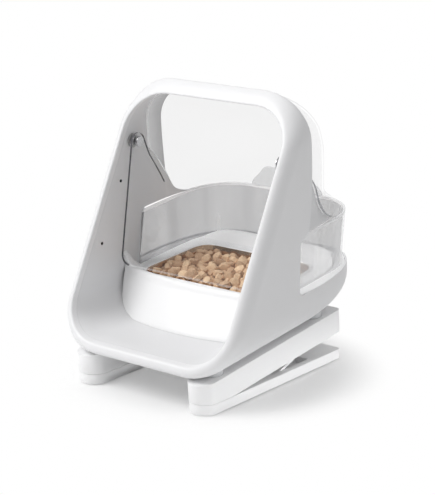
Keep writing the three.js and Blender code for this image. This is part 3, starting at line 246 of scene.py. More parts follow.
# %% [markdown]
# Clear plastic a millimetre or two thick hides little when seen face on and more at a slant, and so
# thin a sheet hardly bends light. Each one is therefore a film whose alpha follows the slant, and
# which shows from one side only and casts no shadow. Inner films are darker, painted shade; the
# dome's side carries a denser band of painted shade up to a sharp end, and the guard has painted
# reflection streaks along its height.

# %% Clear films and the plastics
FILM_BEND = 0.35
FILM_GLOSS = 0.06
# Painted reflections: how far the streak noise is drawn out along the height.
REFLECTION_STREAK_STRETCH = (28, 28, 3)
# Painted shade band on the dome's sides: where it starts, where it is full, where it ends sharply,
# and how much it hides.
BAND_FROM = 163.0
BAND_TO = 194.0
SHADE_BAND_END = 194.5
SHADE_BAND_ALPHA = (0.5, 0.76)


def painted_shade_band(tree, film):
    """Painted shade on the dome's sides, seen at a slant from within: a band that hides more
    towards the rear and ends sharply.
    """
    depth = add(tree, "Attribute", attribute_name="side_band").outputs["Fac"]
    rising = remap(tree, depth, BAND_FROM, BAND_TO, *SHADE_BAND_ALPHA)
    band = calc(tree, "MULTIPLY", rising, calc(tree, "LESS_THAN", depth, SHADE_BAND_END))
    return calc(tree, "MAXIMUM", band, film)


def clear(name, tone, facing, edge, reflection_streak=0.0, start=0.0, band=False):
    """Thin clear plastic: a film that hides little face on, more past a slant, nothing behind."""
    made = plastic(name, tone, gloss=FILM_GLOSS, variation=0.01, grain=0.0)
    tree = made.node_tree
    slant = add(tree, "LayerWeight", {"Blend": FILM_BEND}).outputs["Facing"]
    film = remap(tree, slant, start, 1.0, facing, edge)
    if band:
        film = painted_shade_band(tree, film)
    # Painted reflections: noise drawn out along the height varies the film's alpha in streaks.
    flow = noise(tree, 1, stretch=REFLECTION_STREAK_STRETCH)
    streaked = calc(tree, "MULTIPLY", film, remap(tree, flow, 0.3, 0.7, 1 - reflection_streak, 1 + reflection_streak))
    front = calc(tree, "SUBTRACT", 1, add(tree, "NewGeometry").outputs["Backfacing"])
    lit = calc(tree, "SUBTRACT", 1, add(tree, "LightPath").outputs["Is Shadow Ray"])
    alpha = calc(tree, "MULTIPLY", streaked, calc(tree, "MULTIPLY", front, lit))
    feed(tree, tree.nodes["Principled BSDF"], {"Alpha": alpha})
    return made


WHITE = plastic("white_plastic", (0.90, 0.90, 0.905), gloss=0.32)
# Painted shade: the shell is a darker copy of the white plastic, so its walls read as in shade.
WHITE_SHELL_SHADED = plastic("white_shell", (0.82, 0.82, 0.83), gloss=0.32)
# Painted shade: the liner is a darker copy of the white plastic, so the inside reads as in shade.
WHITE_INSIDE_SHADED = plastic("white_plastic_inside", (0.75, 0.75, 0.76), gloss=0.36)
# Painted shade: a grey for the liner's bevelled edges, drawn as a dark line.
EDGE_SHADE_LINE = plastic("moulding_edge", (0.42, 0.42, 0.43), gloss=0.3)
GREY = plastic("grey_plastic", (0.32, 0.33, 0.34), gloss=0.45)
BLACK = plastic("black_window", (0.012, 0.012, 0.014), gloss=0.12)
RUBBER = plastic("grey_rubber", (0.62, 0.63, 0.64), gloss=0.7, grain=0.3)
CLEAR_HOOD = clear("clear_hood", (0.62, 0.63, 0.65), 0.01, 0.6, start=0.72)
# Painted shade: the hood's inner faces are a dark film, with a denser band on the sides.
CLEAR_HOOD_INSIDE_SHADED = clear("clear_hood_inside", (0.24, 0.24, 0.25), 0.12, 0.16, band=True)
CLEAR_TAB = clear("clear_tab", (0.42, 0.43, 0.45), 0.34, 0.5)
# Painted highlight: a pale, dense film for the cut rims of the guard and the grip.
CLEAR_RIM_HIGHLIGHT = clear("clear_bright_rim", (0.95, 0.95, 0.96), 0.72, 0.9)
CLEAR_GUARD = clear("clear_guard", (0.97, 0.97, 0.98), 0.36, 0.7, reflection_streak=0.35)
# Painted shade: the guard's inner faces are a dark film.
CLEAR_GUARD_INSIDE_SHADED = clear("clear_guard_inside", (0.30, 0.30, 0.31), 0.58, 0.72, reflection_streak=0.12)
CLEAR_LID = clear("clear_lid", (0.62, 0.63, 0.65), 0.03, 0.12)
# Painted shade: a dark film for the hood's cut edges, drawn as a thin outline.
CLEAR_EDGE_SHADE = clear("clear_edge", (0.35, 0.36, 0.38), 0.75, 0.95)
# Painted shade: a dark film for the lid's cut edges.
DARK_CUT_EDGE_SHADE = plastic("clear_sheet_edge", (0.10, 0.10, 0.11), gloss=0.15)
# Painted highlight: a pale film for the cover's cut edges across its flat width.
PALE_EDGE_HIGHLIGHT = clear("clear_light_edge", (0.95, 0.95, 0.96), 0.2, 0.4)
print("plastics and films:", len(bpy.data.materials))

# %% [markdown]
# Every moulded skin below starts as a flat grid that is bent to rows of points, as a hot
# sheet of plastic takes the shape of its mould. The wall then gets its thickness from
# Solidify, and a small bevel catches the light on each edge.

# %% Helpers for skins
def only(obj):
    bpy.ops.object.select_all(action="DESELECT")
    obj.select_set(True)
    bpy.context.view_layer.objects.active = obj


@contextmanager
def editing(obj, select="SELECT"):
    """Edit mode on one object, with all of it selected unless told otherwise."""
    only(obj)
    bpy.ops.object.mode_set(mode="EDIT")
    if select:
        bpy.ops.mesh.select_all(action=select)
    yield bmesh.from_edit_mesh(obj.data)
    bpy.ops.object.mode_set(mode="OBJECT")


def skin(name, rows):
    """A sheet through rows of points; every row has as many points."""
    rows = np.asarray(rows, float)
    down, across = rows.shape[:2]
    bpy.ops.object.select_all(action="DESELECT")
    bpy.ops.mesh.primitive_grid_add(x_subdivisions=across - 1, y_subdivisions=down - 1)
    obj = bpy.context.object
    obj.name = name
    obj.data.vertices.foreach_set("co", rows.reshape(-1))
    obj.data.update()
    return obj


def modify(obj, kind, **values):
    only(obj)
    made = obj.modifiers.new(kind.lower(), kind)
    for key, value in values.items():
        setattr(made, key, value)
    bpy.ops.object.modifier_apply(modifier=made.name)
    return obj


def soften(obj, width, segments=2, angle=60, **values):
    """A small bevel on every edge sharper than an angle."""
    return modify(obj, "BEVEL", width=width, segments=segments, limit_method="ANGLE",
                  angle_limit=math.radians(angle), **values)


def weld(obj, distance, behind=-math.inf):
    """Merges doubles behind a distance along Y, then points every face outwards."""
    bpy.context.tool_settings.mesh_select_mode = (True, False, False)
    with editing(obj, "DESELECT") as mesh:
        for vert in mesh.verts:
            vert.select = vert.co.y > behind
        mesh.select_flush_mode()
        bmesh.update_edit_mesh(obj.data)
        bpy.ops.mesh.remove_doubles(threshold=distance)
        bpy.ops.mesh.select_all(action="SELECT")
        bpy.ops.mesh.normals_make_consistent(inside=False)
    return obj


def flip(obj):
    with editing(obj):
        bpy.ops.mesh.flip_normals()


def face_away(obj, centre, inwards=False):
    """Turns a skin over unless most of it looks away from a point, or towards it."""
    total = sum(math.copysign(face.area, (face.center - Vector(centre)).dot(face.normal))
                for face in obj.data.polygons)
    if (total < 0) != inwards:
        flip(obj)


def face_along(obj, way):
    """Turns a sheet over if it looks against a direction."""
    if sum(face.normal.dot(Vector(way)) for face in obj.data.polygons) < 0:
        flip(obj)


def joined(name, pieces):
    bpy.ops.object.select_all(action="DESELECT")
    for piece in pieces:
        piece.select_set(True)
    bpy.context.view_layer.objects.active = pieces[0]
    bpy.ops.object.join()
    pieces[0].name = name
    return pieces[0]


def dress(obj, *materials):
    for material in materials:
        obj.data.materials.append(material)


def finished(obj, body, replaces, place=BODY, smooth=40):
    """Lays a piece in its place and hands it to the frame."""
    obj.data.transform(place)
    obj.data.update()
    only(obj)
    bpy.ops.object.shade_smooth_by_angle(angle=math.radians(smooth))
    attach(obj, body)
    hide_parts(replaces)
    print(obj.name, "faces", len(obj.data.polygons))

# %% [markdown]
# Holes and bars start as closed outlines, which are filled and drawn out to a block. A
# round corner is an arc of points, and a smooth step joins two levels without a kink.

# %% Helpers for outlines and blocks
def clamp(share):
    return min(1.0, max(0.0, share))


def ease(share):
    share = clamp(share)
    return share * share * (3 - 2 * share)


def rounded(half, corner, over):
    """Half width beside a round corner, at a distance past the corner's start."""
    return half - corner + math.sqrt(max(0.0, corner ** 2 - max(0.0, over) ** 2))


def arc(x, y, radius, first, last, count):
    """Points round a centre from one angle to another, in degrees."""
    return [(x + radius * math.cos(a), y + radius * math.sin(a))
            for a in np.radians(np.linspace(first, last, count))]


def disc(x, y, radius, steps=40):
    return arc(x, y, radius, 0, 360, steps + 1)[:-1]


def rounded_box(x0, x1, y0, y1, radius, steps=8):
    """A closed outline in XY with round corners."""
    corners = ((x1 - radius, y0 + radius, -90), (x1 - radius, y1 - radius, 0),
               (x0 + radius, y1 - radius, 90), (x0 + radius, y0 + radius, 180))
    return [point for x, y, first in corners
            for point in arc(x, y, radius, first, first + 90, steps)]


def block(points, move):
    """A closed outline, filled and drawn out along a vector."""
    bpy.ops.object.select_all(action="DESELECT")
    bpy.ops.mesh.primitive_circle_add(vertices=len(points), fill_type="NGON")
    made = bpy.context.object
    for vert, point in zip(made.data.vertices, points):
        vert.co = point
    with editing(made):
        bpy.ops.mesh.extrude_region_move(TRANSFORM_OT_translate={"value": move})
        bpy.ops.mesh.select_all(action="SELECT")
        bpy.ops.mesh.normals_make_consistent(inside=False)
    return made


def upright(points, low, high):
    """A block that stands on an outline in XY."""
    return block([(x, y, low) for x, y in points], (0, 0, high - low))


def across(points, x0, x1):
    """A block across X from an outline in YZ."""
    return block([(x0, y, z) for y, z in points], (x1 - x0, 0, 0))


def combine(obj, tool, operation="DIFFERENCE"):
    modify(obj, "BOOLEAN", operation=operation, object=tool, solver="EXACT")
    bpy.data.objects.remove(tool)
    return obj

# %% [markdown]
# The portal is one moulding: a fat rounded lip round a leaning opening, straight walls
# behind it, and a low tub that runs on to the rear. All its sheets share one way of laying
# out an outline, with as many points at the same heights, so that they meet point by point.

# %% Outline of the portal and of its opening
LEAN_FOOT = -24.4
LEAN_ANGLE = math.radians(32.3)
LEAN = math.tan(LEAN_ANGLE)
SQUASH = math.cos(LEAN_ANGLE)
PORTAL = dict(half=120.0, low=28.0, high=297.0, corner=58.0)
OPENING = dict(half=107.5, low=43.0, high=283.0, corner=45.5)
WALL_REAR = 171.0
BODY_REAR = 282.0
SHELL_WALL = 2.0
TUB_TOP = 85.0
FOOT_ROUND = 38.0
STEP_ROUND = 6.0
FLOOR_STEPS = 22
CORNER_TURNS = np.radians([0, 6, 13, 20, 27, 34, 41, 48, 55, 62, 69, 77.0, 83, 90])
FILLET_LEVELS = [80.0, 83.0, TUB_TOP, 85.6, 86.8, 88.6, TUB_TOP + STEP_ROUND]
WALL_LEVELS = np.linspace(91.0, 247.0, 22)[1:]
TOP_TURNS = np.radians([8, 16, 24, 32, 40, 48, 56, 64, 72, 80, 90])
TOP_STEPS = 10


def lean_at(z):
    return LEAN_FOOT + z * LEAN


def outline(half, low, high, corner, heights=None):
    """An outline in XZ, from the ceiling's middle down the left and round to the right."""
    tall = corner * SQUASH
    bottom, top = low + tall, high - tall
    if heights is None:
        outer_bottom = PORTAL["low"] + PORTAL["corner"] * SQUASH
        outer_top = PORTAL["high"] - PORTAL["corner"] * SQUASH
        heights = [bottom + (top - bottom) * ((level - outer_bottom) / (outer_top - outer_bottom))
                   for level in (*FILLET_LEVELS, *WALL_LEVELS)]
    points = [((half - corner) * k / FLOOR_STEPS, low) for k in range(FLOOR_STEPS)]
    points += [(half - corner + corner * math.sin(turn), bottom - tall * math.cos(turn))
               for turn in CORNER_TURNS]
    points += [(half, z) for z in heights]
    points += [(half - corner + corner * math.cos(turn), top + tall * math.sin(turn))
               for turn in TOP_TURNS]
    points += [((half - corner) * (1 - k / TOP_STEPS), high) for k in range(1, TOP_STEPS + 1)]
    left = [(-x, z) for x, z in reversed(points)]
    return np.array(left[:-1] + points)


OUTER = outline(**PORTAL)
INNER = outline(**OPENING)
CREST = outline(half=109.5, low=41.0, high=285.0, corner=47.5)
FLANGE = outline(half=109.8, low=40.7, high=285.3, corner=47.8)
print("points round the portal:", len(OUTER))

# %% [markdown]
# Seen from above, the tub narrows towards the rear in one long curve, and it draws in
# towards the floor as a washbasin does. A cubic curve gives the plan, and round corners
# take something off its width and length at each height.

# %% Plan of the tub
PLAN_START = 165.0
PLAN_FLAT = 52.0
PLAN_PULL = 67.0 / 117.0
PLAN_REAR_PULL = 20.0 / 68.0
turns = np.linspace(0, 1, 200)
PLAN_RUN = 3 * PLAN_PULL * turns * (1 - turns) ** 2 + 3 * turns ** 2 * (1 - turns) + turns ** 3
PLAN_DROP = 3 * PLAN_REAR_PULL * turns ** 2 * (1 - turns) + turns ** 3


def corner_inset(z, low, corner, tall):
    """How far a round corner at the foot draws a wall in at a height."""
    rise = max(0.0, 1 - (z - low) / tall)
    return corner * (1 - math.sqrt(max(0.0, 1 - rise * rise)))


def tub_sizes(z):
    corner = PORTAL["corner"]
    half = PORTAL["half"] - corner_inset(z, PORTAL["low"], corner, corner * SQUASH)
    reach = half * (PORTAL["half"] - PLAN_FLAT) / PORTAL["half"]
    return half, reach, BODY_REAR - corner_inset(z, PORTAL["low"], FOOT_ROUND, FOOT_ROUND)


def tub_half(z, y):
    """Half width of the tub at a height and a distance from the front."""
    half, reach, rear = tub_sizes(z)
    share = clamp((y - PLAN_START) / (rear - PLAN_START))
    return half - reach * np.interp(share, PLAN_RUN, PLAN_DROP)


def tub_curve(z, start, count):
    """The plan curve at a height, from the right at start, round the rear, to the left."""
    half, reach, rear = tub_sizes(z)
    dense = [(tub_half(z, start), start)]
    for run, drop in zip(PLAN_RUN, PLAN_DROP):
        y = PLAN_START + (rear - PLAN_START) * run
        if y > start + 0.05:
            dense.append((half - reach * drop, y))
    dense += [(x, rear) for x in np.linspace(half - reach, 0, 12)[1:]]
    dense += [(-x, y) for x, y in reversed(dense[:-1])]
    dense = np.array(dense)
    walk = np.concatenate([[0], np.cumsum(np.linalg.norm(np.diff(dense, axis=0), axis=1))])
    even = np.linspace(0, walk[-1], count)
    return np.column_stack([np.interp(even, walk, dense[:, 0]),
                            np.interp(even, walk, dense[:, 1])])


print("half width at the rear:", round(float(tub_half(TUB_TOP, BODY_REAR)), 1))

# %% [markdown]
# The rear edge of the side walls leans forward, makes room for the lid's gear near the
# roof, and steps down to the tub's rim with a round corner beside the clear guard. A few
# functions of height say where it runs.

# %% Rear edge of the walls
REAR_LEAN = 13.2
LEAN_TOP = 285.0
LEAN_RUN = 135.0
GUARD_RIM = 144.0
GUARD_RIM_FRONT = 150.0
GUARD_SLOPE = 0.259
STEP_REAR = 142.4
STEP_SLOPE = 0.11
STEP_FOOT = 143.2
STEP_HEIGHT = 7.0
EDGE_DEPTH = 22.0
EDGE_SHARE = 0.9


def guard_front(z):
    """The clear guard's front edge, which leans forward towards its foot."""
    return GUARD_RIM_FRONT - (GUARD_RIM - z) * GUARD_SLOPE


def leaning(z):
    """The rear edge above the guard, kept back where the gear of the lid turns behind it."""
    return WALL_REAR - REAR_LEAN * max(0.0, (LEAN_TOP - z) / LEAN_RUN) ** 3


def wall_rear(z):
    """The walls' rear edge leans forward, and steps forward once more beside the guard."""
    beside = STEP_REAR - (GUARD_RIM + 1 - z) * STEP_SLOPE
    return beside + (leaning(z) - beside) * clamp((z - STEP_FOOT) / STEP_HEIGHT)


TUB_START = wall_rear(TUB_TOP + STEP_ROUND) + STEP_ROUND


def shell_end(z):
    """Where the shell's side wall ends, with the round step down to the tub."""
    if z >= TUB_TOP + STEP_ROUND:
        return wall_rear(z)
    if z <= TUB_TOP + 0.2:
        return TUB_START
    drop = TUB_TOP + STEP_ROUND - z
    return TUB_START - math.sqrt(STEP_ROUND ** 2 - drop ** 2)


def edge_room(z):
    """How deep the rounded front edge is at a height; there is less room at the roof."""
    return min(EDGE_DEPTH, (WALL_REAR - lean_at(z)) * EDGE_SHARE)


print("tub starts at:", round(TUB_START, 1))

# %% [markdown]
# The walls are straight along Y, so the lip and walls are one sheet wrapped round the
# opening: rows that roll over the lip, rows round the fat front edge, then rows back to the
# walls' end, and a last one that turns in as a flange.

# %% Portal walls and lip
LIP_ROUND = 2.0
LIP_RETURN = 8.3
EDGE_TURNS = np.radians([7, 14, 22, 30, 38, 46, 54, 62, 70, 78, 85, 90])
WALL_SHARES = [0.02, 0.05, 0.1, 0.18, 0.28, 0.4, 0.52, 0.64, 0.76, 0.86, 0.94, 1.0]
PLAN_LEVEL = 200.0


def lip_row(points, back):
    """A row behind the leaning front, by a depth that is a function of height."""
    return [(x, lean_at(z) + back(z), z) for x, z in points]


def narrowed(z, y):
    level = min(z, PLAN_LEVEL)
    return tub_half(level, y) / tub_half(level, 0.0)


front_rows = [lip_row(INNER, lambda z: LIP_RETURN)]
for turn in np.radians([0, 22, 45, 68, 90]):
    front_rows.append(lip_row(INNER + (CREST - INNER) * (1 - math.cos(turn)),
                              lambda z: LIP_ROUND * (1 - math.sin(turn))))
for turn in EDGE_TURNS:
    front_rows.append(lip_row(CREST + (OUTER - CREST) * math.sin(turn),
                              lambda z: edge_room(z) * (1 - math.cos(turn))))
for share in WALL_SHARES:
    row = []
    for x, z in OUTER:
        start = lean_at(z) + edge_room(z)
        y = start + (shell_end(z) - start) * share
        row.append((x * narrowed(z, y), y, z))
    front_rows.append(row)
row = []
for (xo, zo), (xf, zf) in zip(OUTER, FLANGE):
    full = clamp((zo - TUB_TOP) / STEP_ROUND)
    lead = guard_front(zo) - wall_rear(zo) - 0.6 if zo < GUARD_RIM + 2 else 0.0
    x = xo * tub_half(PLAN_LEVEL, shell_end(zo)) / PORTAL["half"]
    row.append((x * (1 - full) + xf * full, shell_end(zo) + lead * full, zo + (zf - zo) * full))
front_rows.append(row)
front = skin("shell_front", front_rows)
print("rows of the front sheet:", len(front_rows))

# %% [markdown]
# The tub's rear is a second sheet, whose plan curve shrinks towards the floor and closes
# on the line where the walls' floor ends. Joined to the walls and welded along that line,
# the two become one skin, which Solidify turns into a wall.

# %% Tub behind the walls
corner_tall = PORTAL["corner"] * SQUASH
levels = [PORTAL["low"] + corner_tall * (1 - math.cos(turn)) for turn in CORNER_TURNS]
levels += [z for z in FILLET_LEVELS if z <= TUB_TOP]
count = 2 * FLOOR_STEPS + 1
rows = [[(x, y, z) for x, y in tub_curve(z, TUB_START, count)] for z in reversed(levels)]
floor_rim = np.array(rows[-1])
floor_half = tub_half(PORTAL["low"], TUB_START)
floor_line = np.array([(floor_half * (1 - 2 * k / (count - 1)), TUB_START, PORTAL["low"])
                       for k in range(count)])
rows += [floor_rim + (floor_line - floor_rim) * share for share in (0.25, 0.5, 0.75, 1.0)]
tub = skin("shell_tub", rows)
shell = joined("outer_shell_moulding", [front, tub])
weld(shell, 0.35, behind=TUB_START - 0.6)
weld(shell, 0.05)
face_away(shell, (0, 120, 150))
modify(shell, "SOLIDIFY", thickness=SHELL_WALL, offset=-1)
print("shell vertices:", len(shell.data.vertices))

# %% [markdown]
# The shell has an opening under the base for the cells and two small holes in its rear wall
# for a button and a lamp. Each is cut with a block a little deeper than the wall.

# %% Openings of the shell
PANEL_LEVEL = 52.0
combine(shell, upright(rounded_box(-54.3, 54.3, 35.7, 236.3, 8.3), 20, 32))
for x, radius in ((26.0, 5.3), (8.0, 2.3)):
    hole = upright(disc(x, -PANEL_LEVEL, radius), BODY_REAR - 12, BODY_REAR + 8)
    hole.data.transform(Matrix.Rotation(-math.pi / 2, 4, "X"))
    combine(shell, hole)
# The shell takes the darker white, painted shade.
dress(shell, WHITE_SHELL_SHADED)
finished(shell, "feeder_body", "outer_shell")

# %% [markdown]
# The hood is a blown dome: its plan is a rounded curve that grows squarer towards the foot
# and shallower towards the roof. A table of depth and squareness by height describes it,
# and the liner's wings, which reach back under the hood, follow the same surface.

# %% Hood surface, which the wings follow
HOOD_HALF = 112.0
HOOD_TOP = 291.0
HOOD_CORNER = 50.0
HOOD_SHOULDER = HOOD_TOP - HOOD_CORNER
HOOD_FOOT = 144.3
HOOD_SPRING = 163.0
HOOD_REACH = 285.0 - HOOD_SPRING
HOOD_ROWS = np.array([
    # height share, depth share, power of the plan curve
    (0, 1, 3.2), (0.053, 0.983, 2.8), (0.107, 0.95, 2.35), (0.189, 0.908, 2.1),
    (0.298, 0.878, 2.2), (0.53, 0.866, 2.3), (0.666, 0.807, 2.3), (0.775, 0.723, 2.2),
    (0.87, 0.597, 2.1), (0.939, 0.437, 2.0), (0.98, 0.277, 2.0), (1, 0.101, 2.0)])


def smooth_through(x, xs, ys):
    """A curve through points that never swings past them."""
    xs, ys = np.asarray(xs, float), np.asarray(ys, float)
    steps = np.diff(ys) / np.diff(xs)
    slopes = np.zeros_like(ys)
    slopes[0], slopes[-1] = steps[0], steps[-1]
    for i in range(1, len(ys) - 1):
        if steps[i - 1] * steps[i] > 0:
            slopes[i] = 2 / (1 / steps[i - 1] + 1 / steps[i])
    i = int(np.clip(np.searchsorted(xs, x) - 1, 0, len(xs) - 2))
    width = xs[i + 1] - xs[i]
    t = clamp((x - xs[i]) / width)
    return ((2 * t ** 3 - 3 * t * t + 1) * ys[i] + (t ** 3 - 2 * t * t + t) * width * slopes[i]
            + (3 * t * t - 2 * t ** 3) * ys[i + 1] + (t ** 3 - t * t) * width * slopes[i + 1])


def hood_half(z):
    return rounded(HOOD_HALF, HOOD_CORNER, z - HOOD_SHOULDER)


def hood_plan(z):
    """Depth of the hood at a height, and the power of its plan curve."""
    share = (z - HOOD_FOOT) / (HOOD_TOP - HOOD_FOOT)
    depth, power = (smooth_through(share, HOOD_ROWS[:, 0], HOOD_ROWS[:, k]) for k in (1, 2))
    return HOOD_REACH * depth, power


def hood_width(z, y, inset):
    """Half width of the hood at a height and a depth, or 0 outside it."""
    z = min(z + inset, HOOD_TOP)
    depth, power = hood_plan(z)
    share = (y - HOOD_SPRING) / (depth - inset)
    if share >= 1:
        return 0.0
    return (hood_half(z) - inset) * (1 - max(0.0, share) ** power) ** (1 / power)


print("hood depth at its waist:", round(float(hood_plan(200.0)[0]), 1))

# %% [markdown]
# The liner is the inner half of the portal: a platform to step on, two side walls and a
# ceiling that reach back under the hood as wings. A wing starts at the wall's rear edge and
# eases over to the hood's inner face, which is found by halving steps towards the roof.

# %% Wings of the liner
WING_FOOT = 145.4
WING_TOP = 212.0
WING_LEVELS = (WING_FOOT, 147.4, 152.0, 157.0, 166.0, 179.0, 192.0, 203.0, WING_TOP)
WING_REARS = (229.0, 219.5, 209.5, 203.5, 198.0, 191.5, 185.0, 178.0, leaning(WING_TOP) + 1.5)
WING_SHARES = (0.0, 0.12, 0.3, 0.5, 0.75, 1.0)
UNDER_HOOD = 4.5
BEHIND_GUARD_FRONT = 5.0


def liner_end(z):
    """The wall stops behind the clear guard's front, and above it at the shell's edge."""
    return leaning(z) if z >= WING_FOOT else guard_front(z) + BEHIND_GUARD_FRONT


def hood_inside(x, z, y):
    """The place under the hood that lies outwards from a point of the outline."""
    if z <= HOOD_SHOULDER:
        return math.copysign(hood_width(z, y, UNDER_HOOD), x), y, z
    direction = np.array([x, z - HOOD_SHOULDER])
    direction /= np.linalg.norm(direction)
    near, far = 0.0, 130.0
    for _ in range(24):
        middle = (near + far) / 2
        px, pz = abs(direction[0]) * middle, HOOD_SHOULDER + direction[1] * middle
        inside = pz + UNDER_HOOD < HOOD_TOP and px < hood_width(pz, y, UNDER_HOOD)
        near, far = (middle, far) if inside else (near, middle)
    return direction[0] * near, y, HOOD_SHOULDER + direction[1] * near


def wing_point(x, z, share):
    reach = smooth_through(z, WING_LEVELS, WING_REARS) - liner_end(z)
    y = liner_end(z) + reach * share
    return Vector((x, y, z)).lerp(Vector(hood_inside(x, z, y)), ease(share / 0.5))


print("wing's length at its foot:", round(float(WING_REARS[0] - liner_end(WING_FOOT)), 1))

# %% [markdown]
# The liner's edge steps three times, so it is made as grids that share their edges: the
# platform, two walls, two wings and two narrow strips at the walls' feet beside the guard.
# Welded, they get one wall thickness, and the bevel's own material draws the grey edge, a painted
# shade line.

# %% Liner
LINER_WALL = 2.0
LINER_GAP = 0.3
PLATFORM_TOP = 88.5
PLATFORM_REAR = 116.0
SKIRT_FOOT = 83.4
WHITE_EDGE_DEPTH = 14
opening_top = OPENING["high"] - OPENING["corner"] * SQUASH
LINER = outline(**OPENING, heights=[
    PLATFORM_TOP, 100, 115, 132, GUARD_RIM + 0.8, WING_FOOT, 147, 150, 153, 157, 162, 168, 176,
    184, 192, 202, 208, WING_TOP, 226, 238, opening_top])
starts = [lean_at(z) + LIP_RETURN + LINER_GAP for x, z in LINER]
low_columns = [i for i, (x, z) in enumerate(LINER) if z <= PLATFORM_TOP + 0.01]
foot, last_low = low_columns[0], low_columns[-1]
foot_end = liner_end(PLATFORM_TOP)
rear_marks = np.linspace(PLATFORM_REAR, foot_end, 7)
marks = [*np.linspace(starts[foot], PLATFORM_REAR, 9), *rear_marks[1:]]
wall_shares = [(y - starts[foot]) / (foot_end - starts[foot]) for y in marks]


def strip(name, columns, end, shares):
    """A sheet over columns of the outline, from their starts back to an end."""
    return skin(name, [[(LINER[i][0], starts[i] + (end(LINER[i][1]) - starts[i]) * s, LINER[i][1])
                        for i in columns] for s in shares])


sheets = [strip("liner_platform", low_columns, lambda z: PLATFORM_REAR, np.linspace(0, 1, 9))]
for side in (range(0, foot + 1), range(last_low, len(LINER))):
    sheets.append(strip("liner_wall", side, liner_end, wall_shares))
    upper = [i for i in side if WING_FOOT - 0.01 <= LINER[i][1] <= WING_TOP + 0.01]
    sheets.append(skin("liner_wing", [[wing_point(*LINER[i], s) for i in upper]
                                      for s in WING_SHARES]))
for i in (foot, last_low):
    sheets.append(skin("liner_skirt", [[(LINER[i][0], y, z) for y in rear_marks]
                                       for z in (SKIRT_FOOT, LINER[i][1])]))
liner = weld(joined("inner_liner_moulding", sheets), 0.05)
face_away(liner, (0, 100, 160), inwards=True)
modify(liner, "SOLIDIFY", thickness=LINER_WALL, offset=-1)
# Painted shade: the liner takes the darker inside white, and its bevels take the grey edge line.
dress(liner, WHITE_INSIDE_SHADED, EDGE_SHADE_LINE)
soften(liner, 0.45, angle=50, material=1)
# The painted shade line stays off the faces just behind the lip, which take the inside white.
for face in liner.data.polygons:
    if face.center.y < lean_at(face.center.z) + WHITE_EDGE_DEPTH:
        face.material_index = 0
finished(liner, "feeder_body", "inner_liner")

# %% [markdown]
# The block that carries the bowl is one moulding: a bulging front that leans back, a
# rounded edge, a deck, a raised band behind the bowl and skirts that drop to the shell.
# It is one grid whose rows run over the block from the foot of its front to its rear.

# %% Bowl housing
BLOCK_FOOT = 67.5
BLOCK_FRONT = 104.0
BLOCK_TOP = 88.0
DECK = 84.0
FOOT_SWEEP = 20.0
TOP_SWEEP = 10.0
HOUSING_REAR = 262.0
HOUSING_HALF = 101.7
HOUSING_CORNER = 54.0
GUARD_FRONT = 134.0
BAND_TOP = 91.5
HORN_RISE = 17.0
HORN_RUN = 15.0
EDGE_ROUND = 5.0
HORN_FADE = 14.0
EDGE_ROWS = [(0.25, 0.62), (0.55, 0.87), (0.85, 0.98), (1.15, 1.0), (1.4, 0.9), (1.55, 0.6),
             (1.62, 0.25)]
FLAT_ROWS = (126.0, GUARD_FRONT - LINER_GAP, GUARD_FRONT, 150.0, 170.0, 190.0, 208.0, 220.0, 228.0)
BAND_ROWS = [(232.0, 0.04), (236.0, 0.16), (243.0, 0.5), (250.0, 0.84), (254.0, 0.96),
             (257.0, 1.0), (260.0, 1.0), (261.6, 1.0)]
INSIDE_OPENING = OPENING["half"] - LINER_GAP


def opening_half(z):
    corner = OPENING["corner"]
    return OPENING["half"] - corner_inset(z, OPENING["low"], corner, corner * SQUASH)


def housing_half(y):
    if y < GUARD_FRONT:
        return INSIDE_OPENING
    return rounded(HOUSING_HALF, HOUSING_CORNER, y - (HOUSING_REAR - HOUSING_CORNER))


def horn(x):
    """How far the block's edge sweeps up against the side wall."""
    return HORN_RISE * ease((abs(x) - (OPENING["half"] - HORN_RUN)) / HORN_RUN)


def front_at(x, z):
    share = (z - OPENING["low"]) / (BLOCK_TOP - OPENING["low"])
    sweep = FOOT_SWEEP + (TOP_SWEEP - FOOT_SWEEP) * share
    bow = (x / OPENING["half"]) ** 2
    return BLOCK_FOOT + (BLOCK_FRONT - BLOCK_FOOT) * share + sweep * bow


spread = np.sin(np.linspace(-math.pi / 2, math.pi / 2, 61))
spread = np.sign(spread) * (0.55 * abs(spread) + 0.45 * abs(np.linspace(-1, 1, 61)))
low = OPENING["low"] + LINER_GAP
edge_foot = BLOCK_TOP - EDGE_ROUND
rows = []
for share in np.linspace(0, 1, 12):
    level = low + (edge_foot - low) * share
    row = []
    for x in spread * (opening_half(level) - LINER_GAP):
        z = level + horn(x) * share
        row.append((x, front_at(x, min(z, BLOCK_TOP)), z))
    rows.append(row)
for run, rise in EDGE_ROWS:
    rows.append([(x, front_at(x, edge_foot) + run * EDGE_ROUND,
                  edge_foot + horn(x) + EDGE_ROUND * rise) for x in spread * INSIDE_OPENING])
edge_rear = [y for x, y, z in rows[-1]]
rows.append([(s * housing_half(y + 1.0), y + 1.0, DECK + horn(s * OPENING["half"]))
             for s, y in zip(spread, edge_rear)])
for y, lift in [(y, 0.0) for y in FLAT_ROWS] + BAND_ROWS:
    row = []
    for s, behind in zip(spread, edge_rear):
        fade = max(0.0, 1 - (y - behind) / HORN_FADE)
        z = DECK + (BAND_TOP - DECK) * lift + horn(s * OPENING["half"]) * fade
        row.append((s * housing_half(y), y, z))
    rows.append(row)
housing = skin("bowl_housing_block", rows)
print("rows of the housing:", len(rows))

# %% [markdown]
# A thin ledge runs from the block's side and rear edges out to the shell. The open edges
# are drawn down in three short steps, levelled, and drawn out once more until each point
# is just inside the tub.

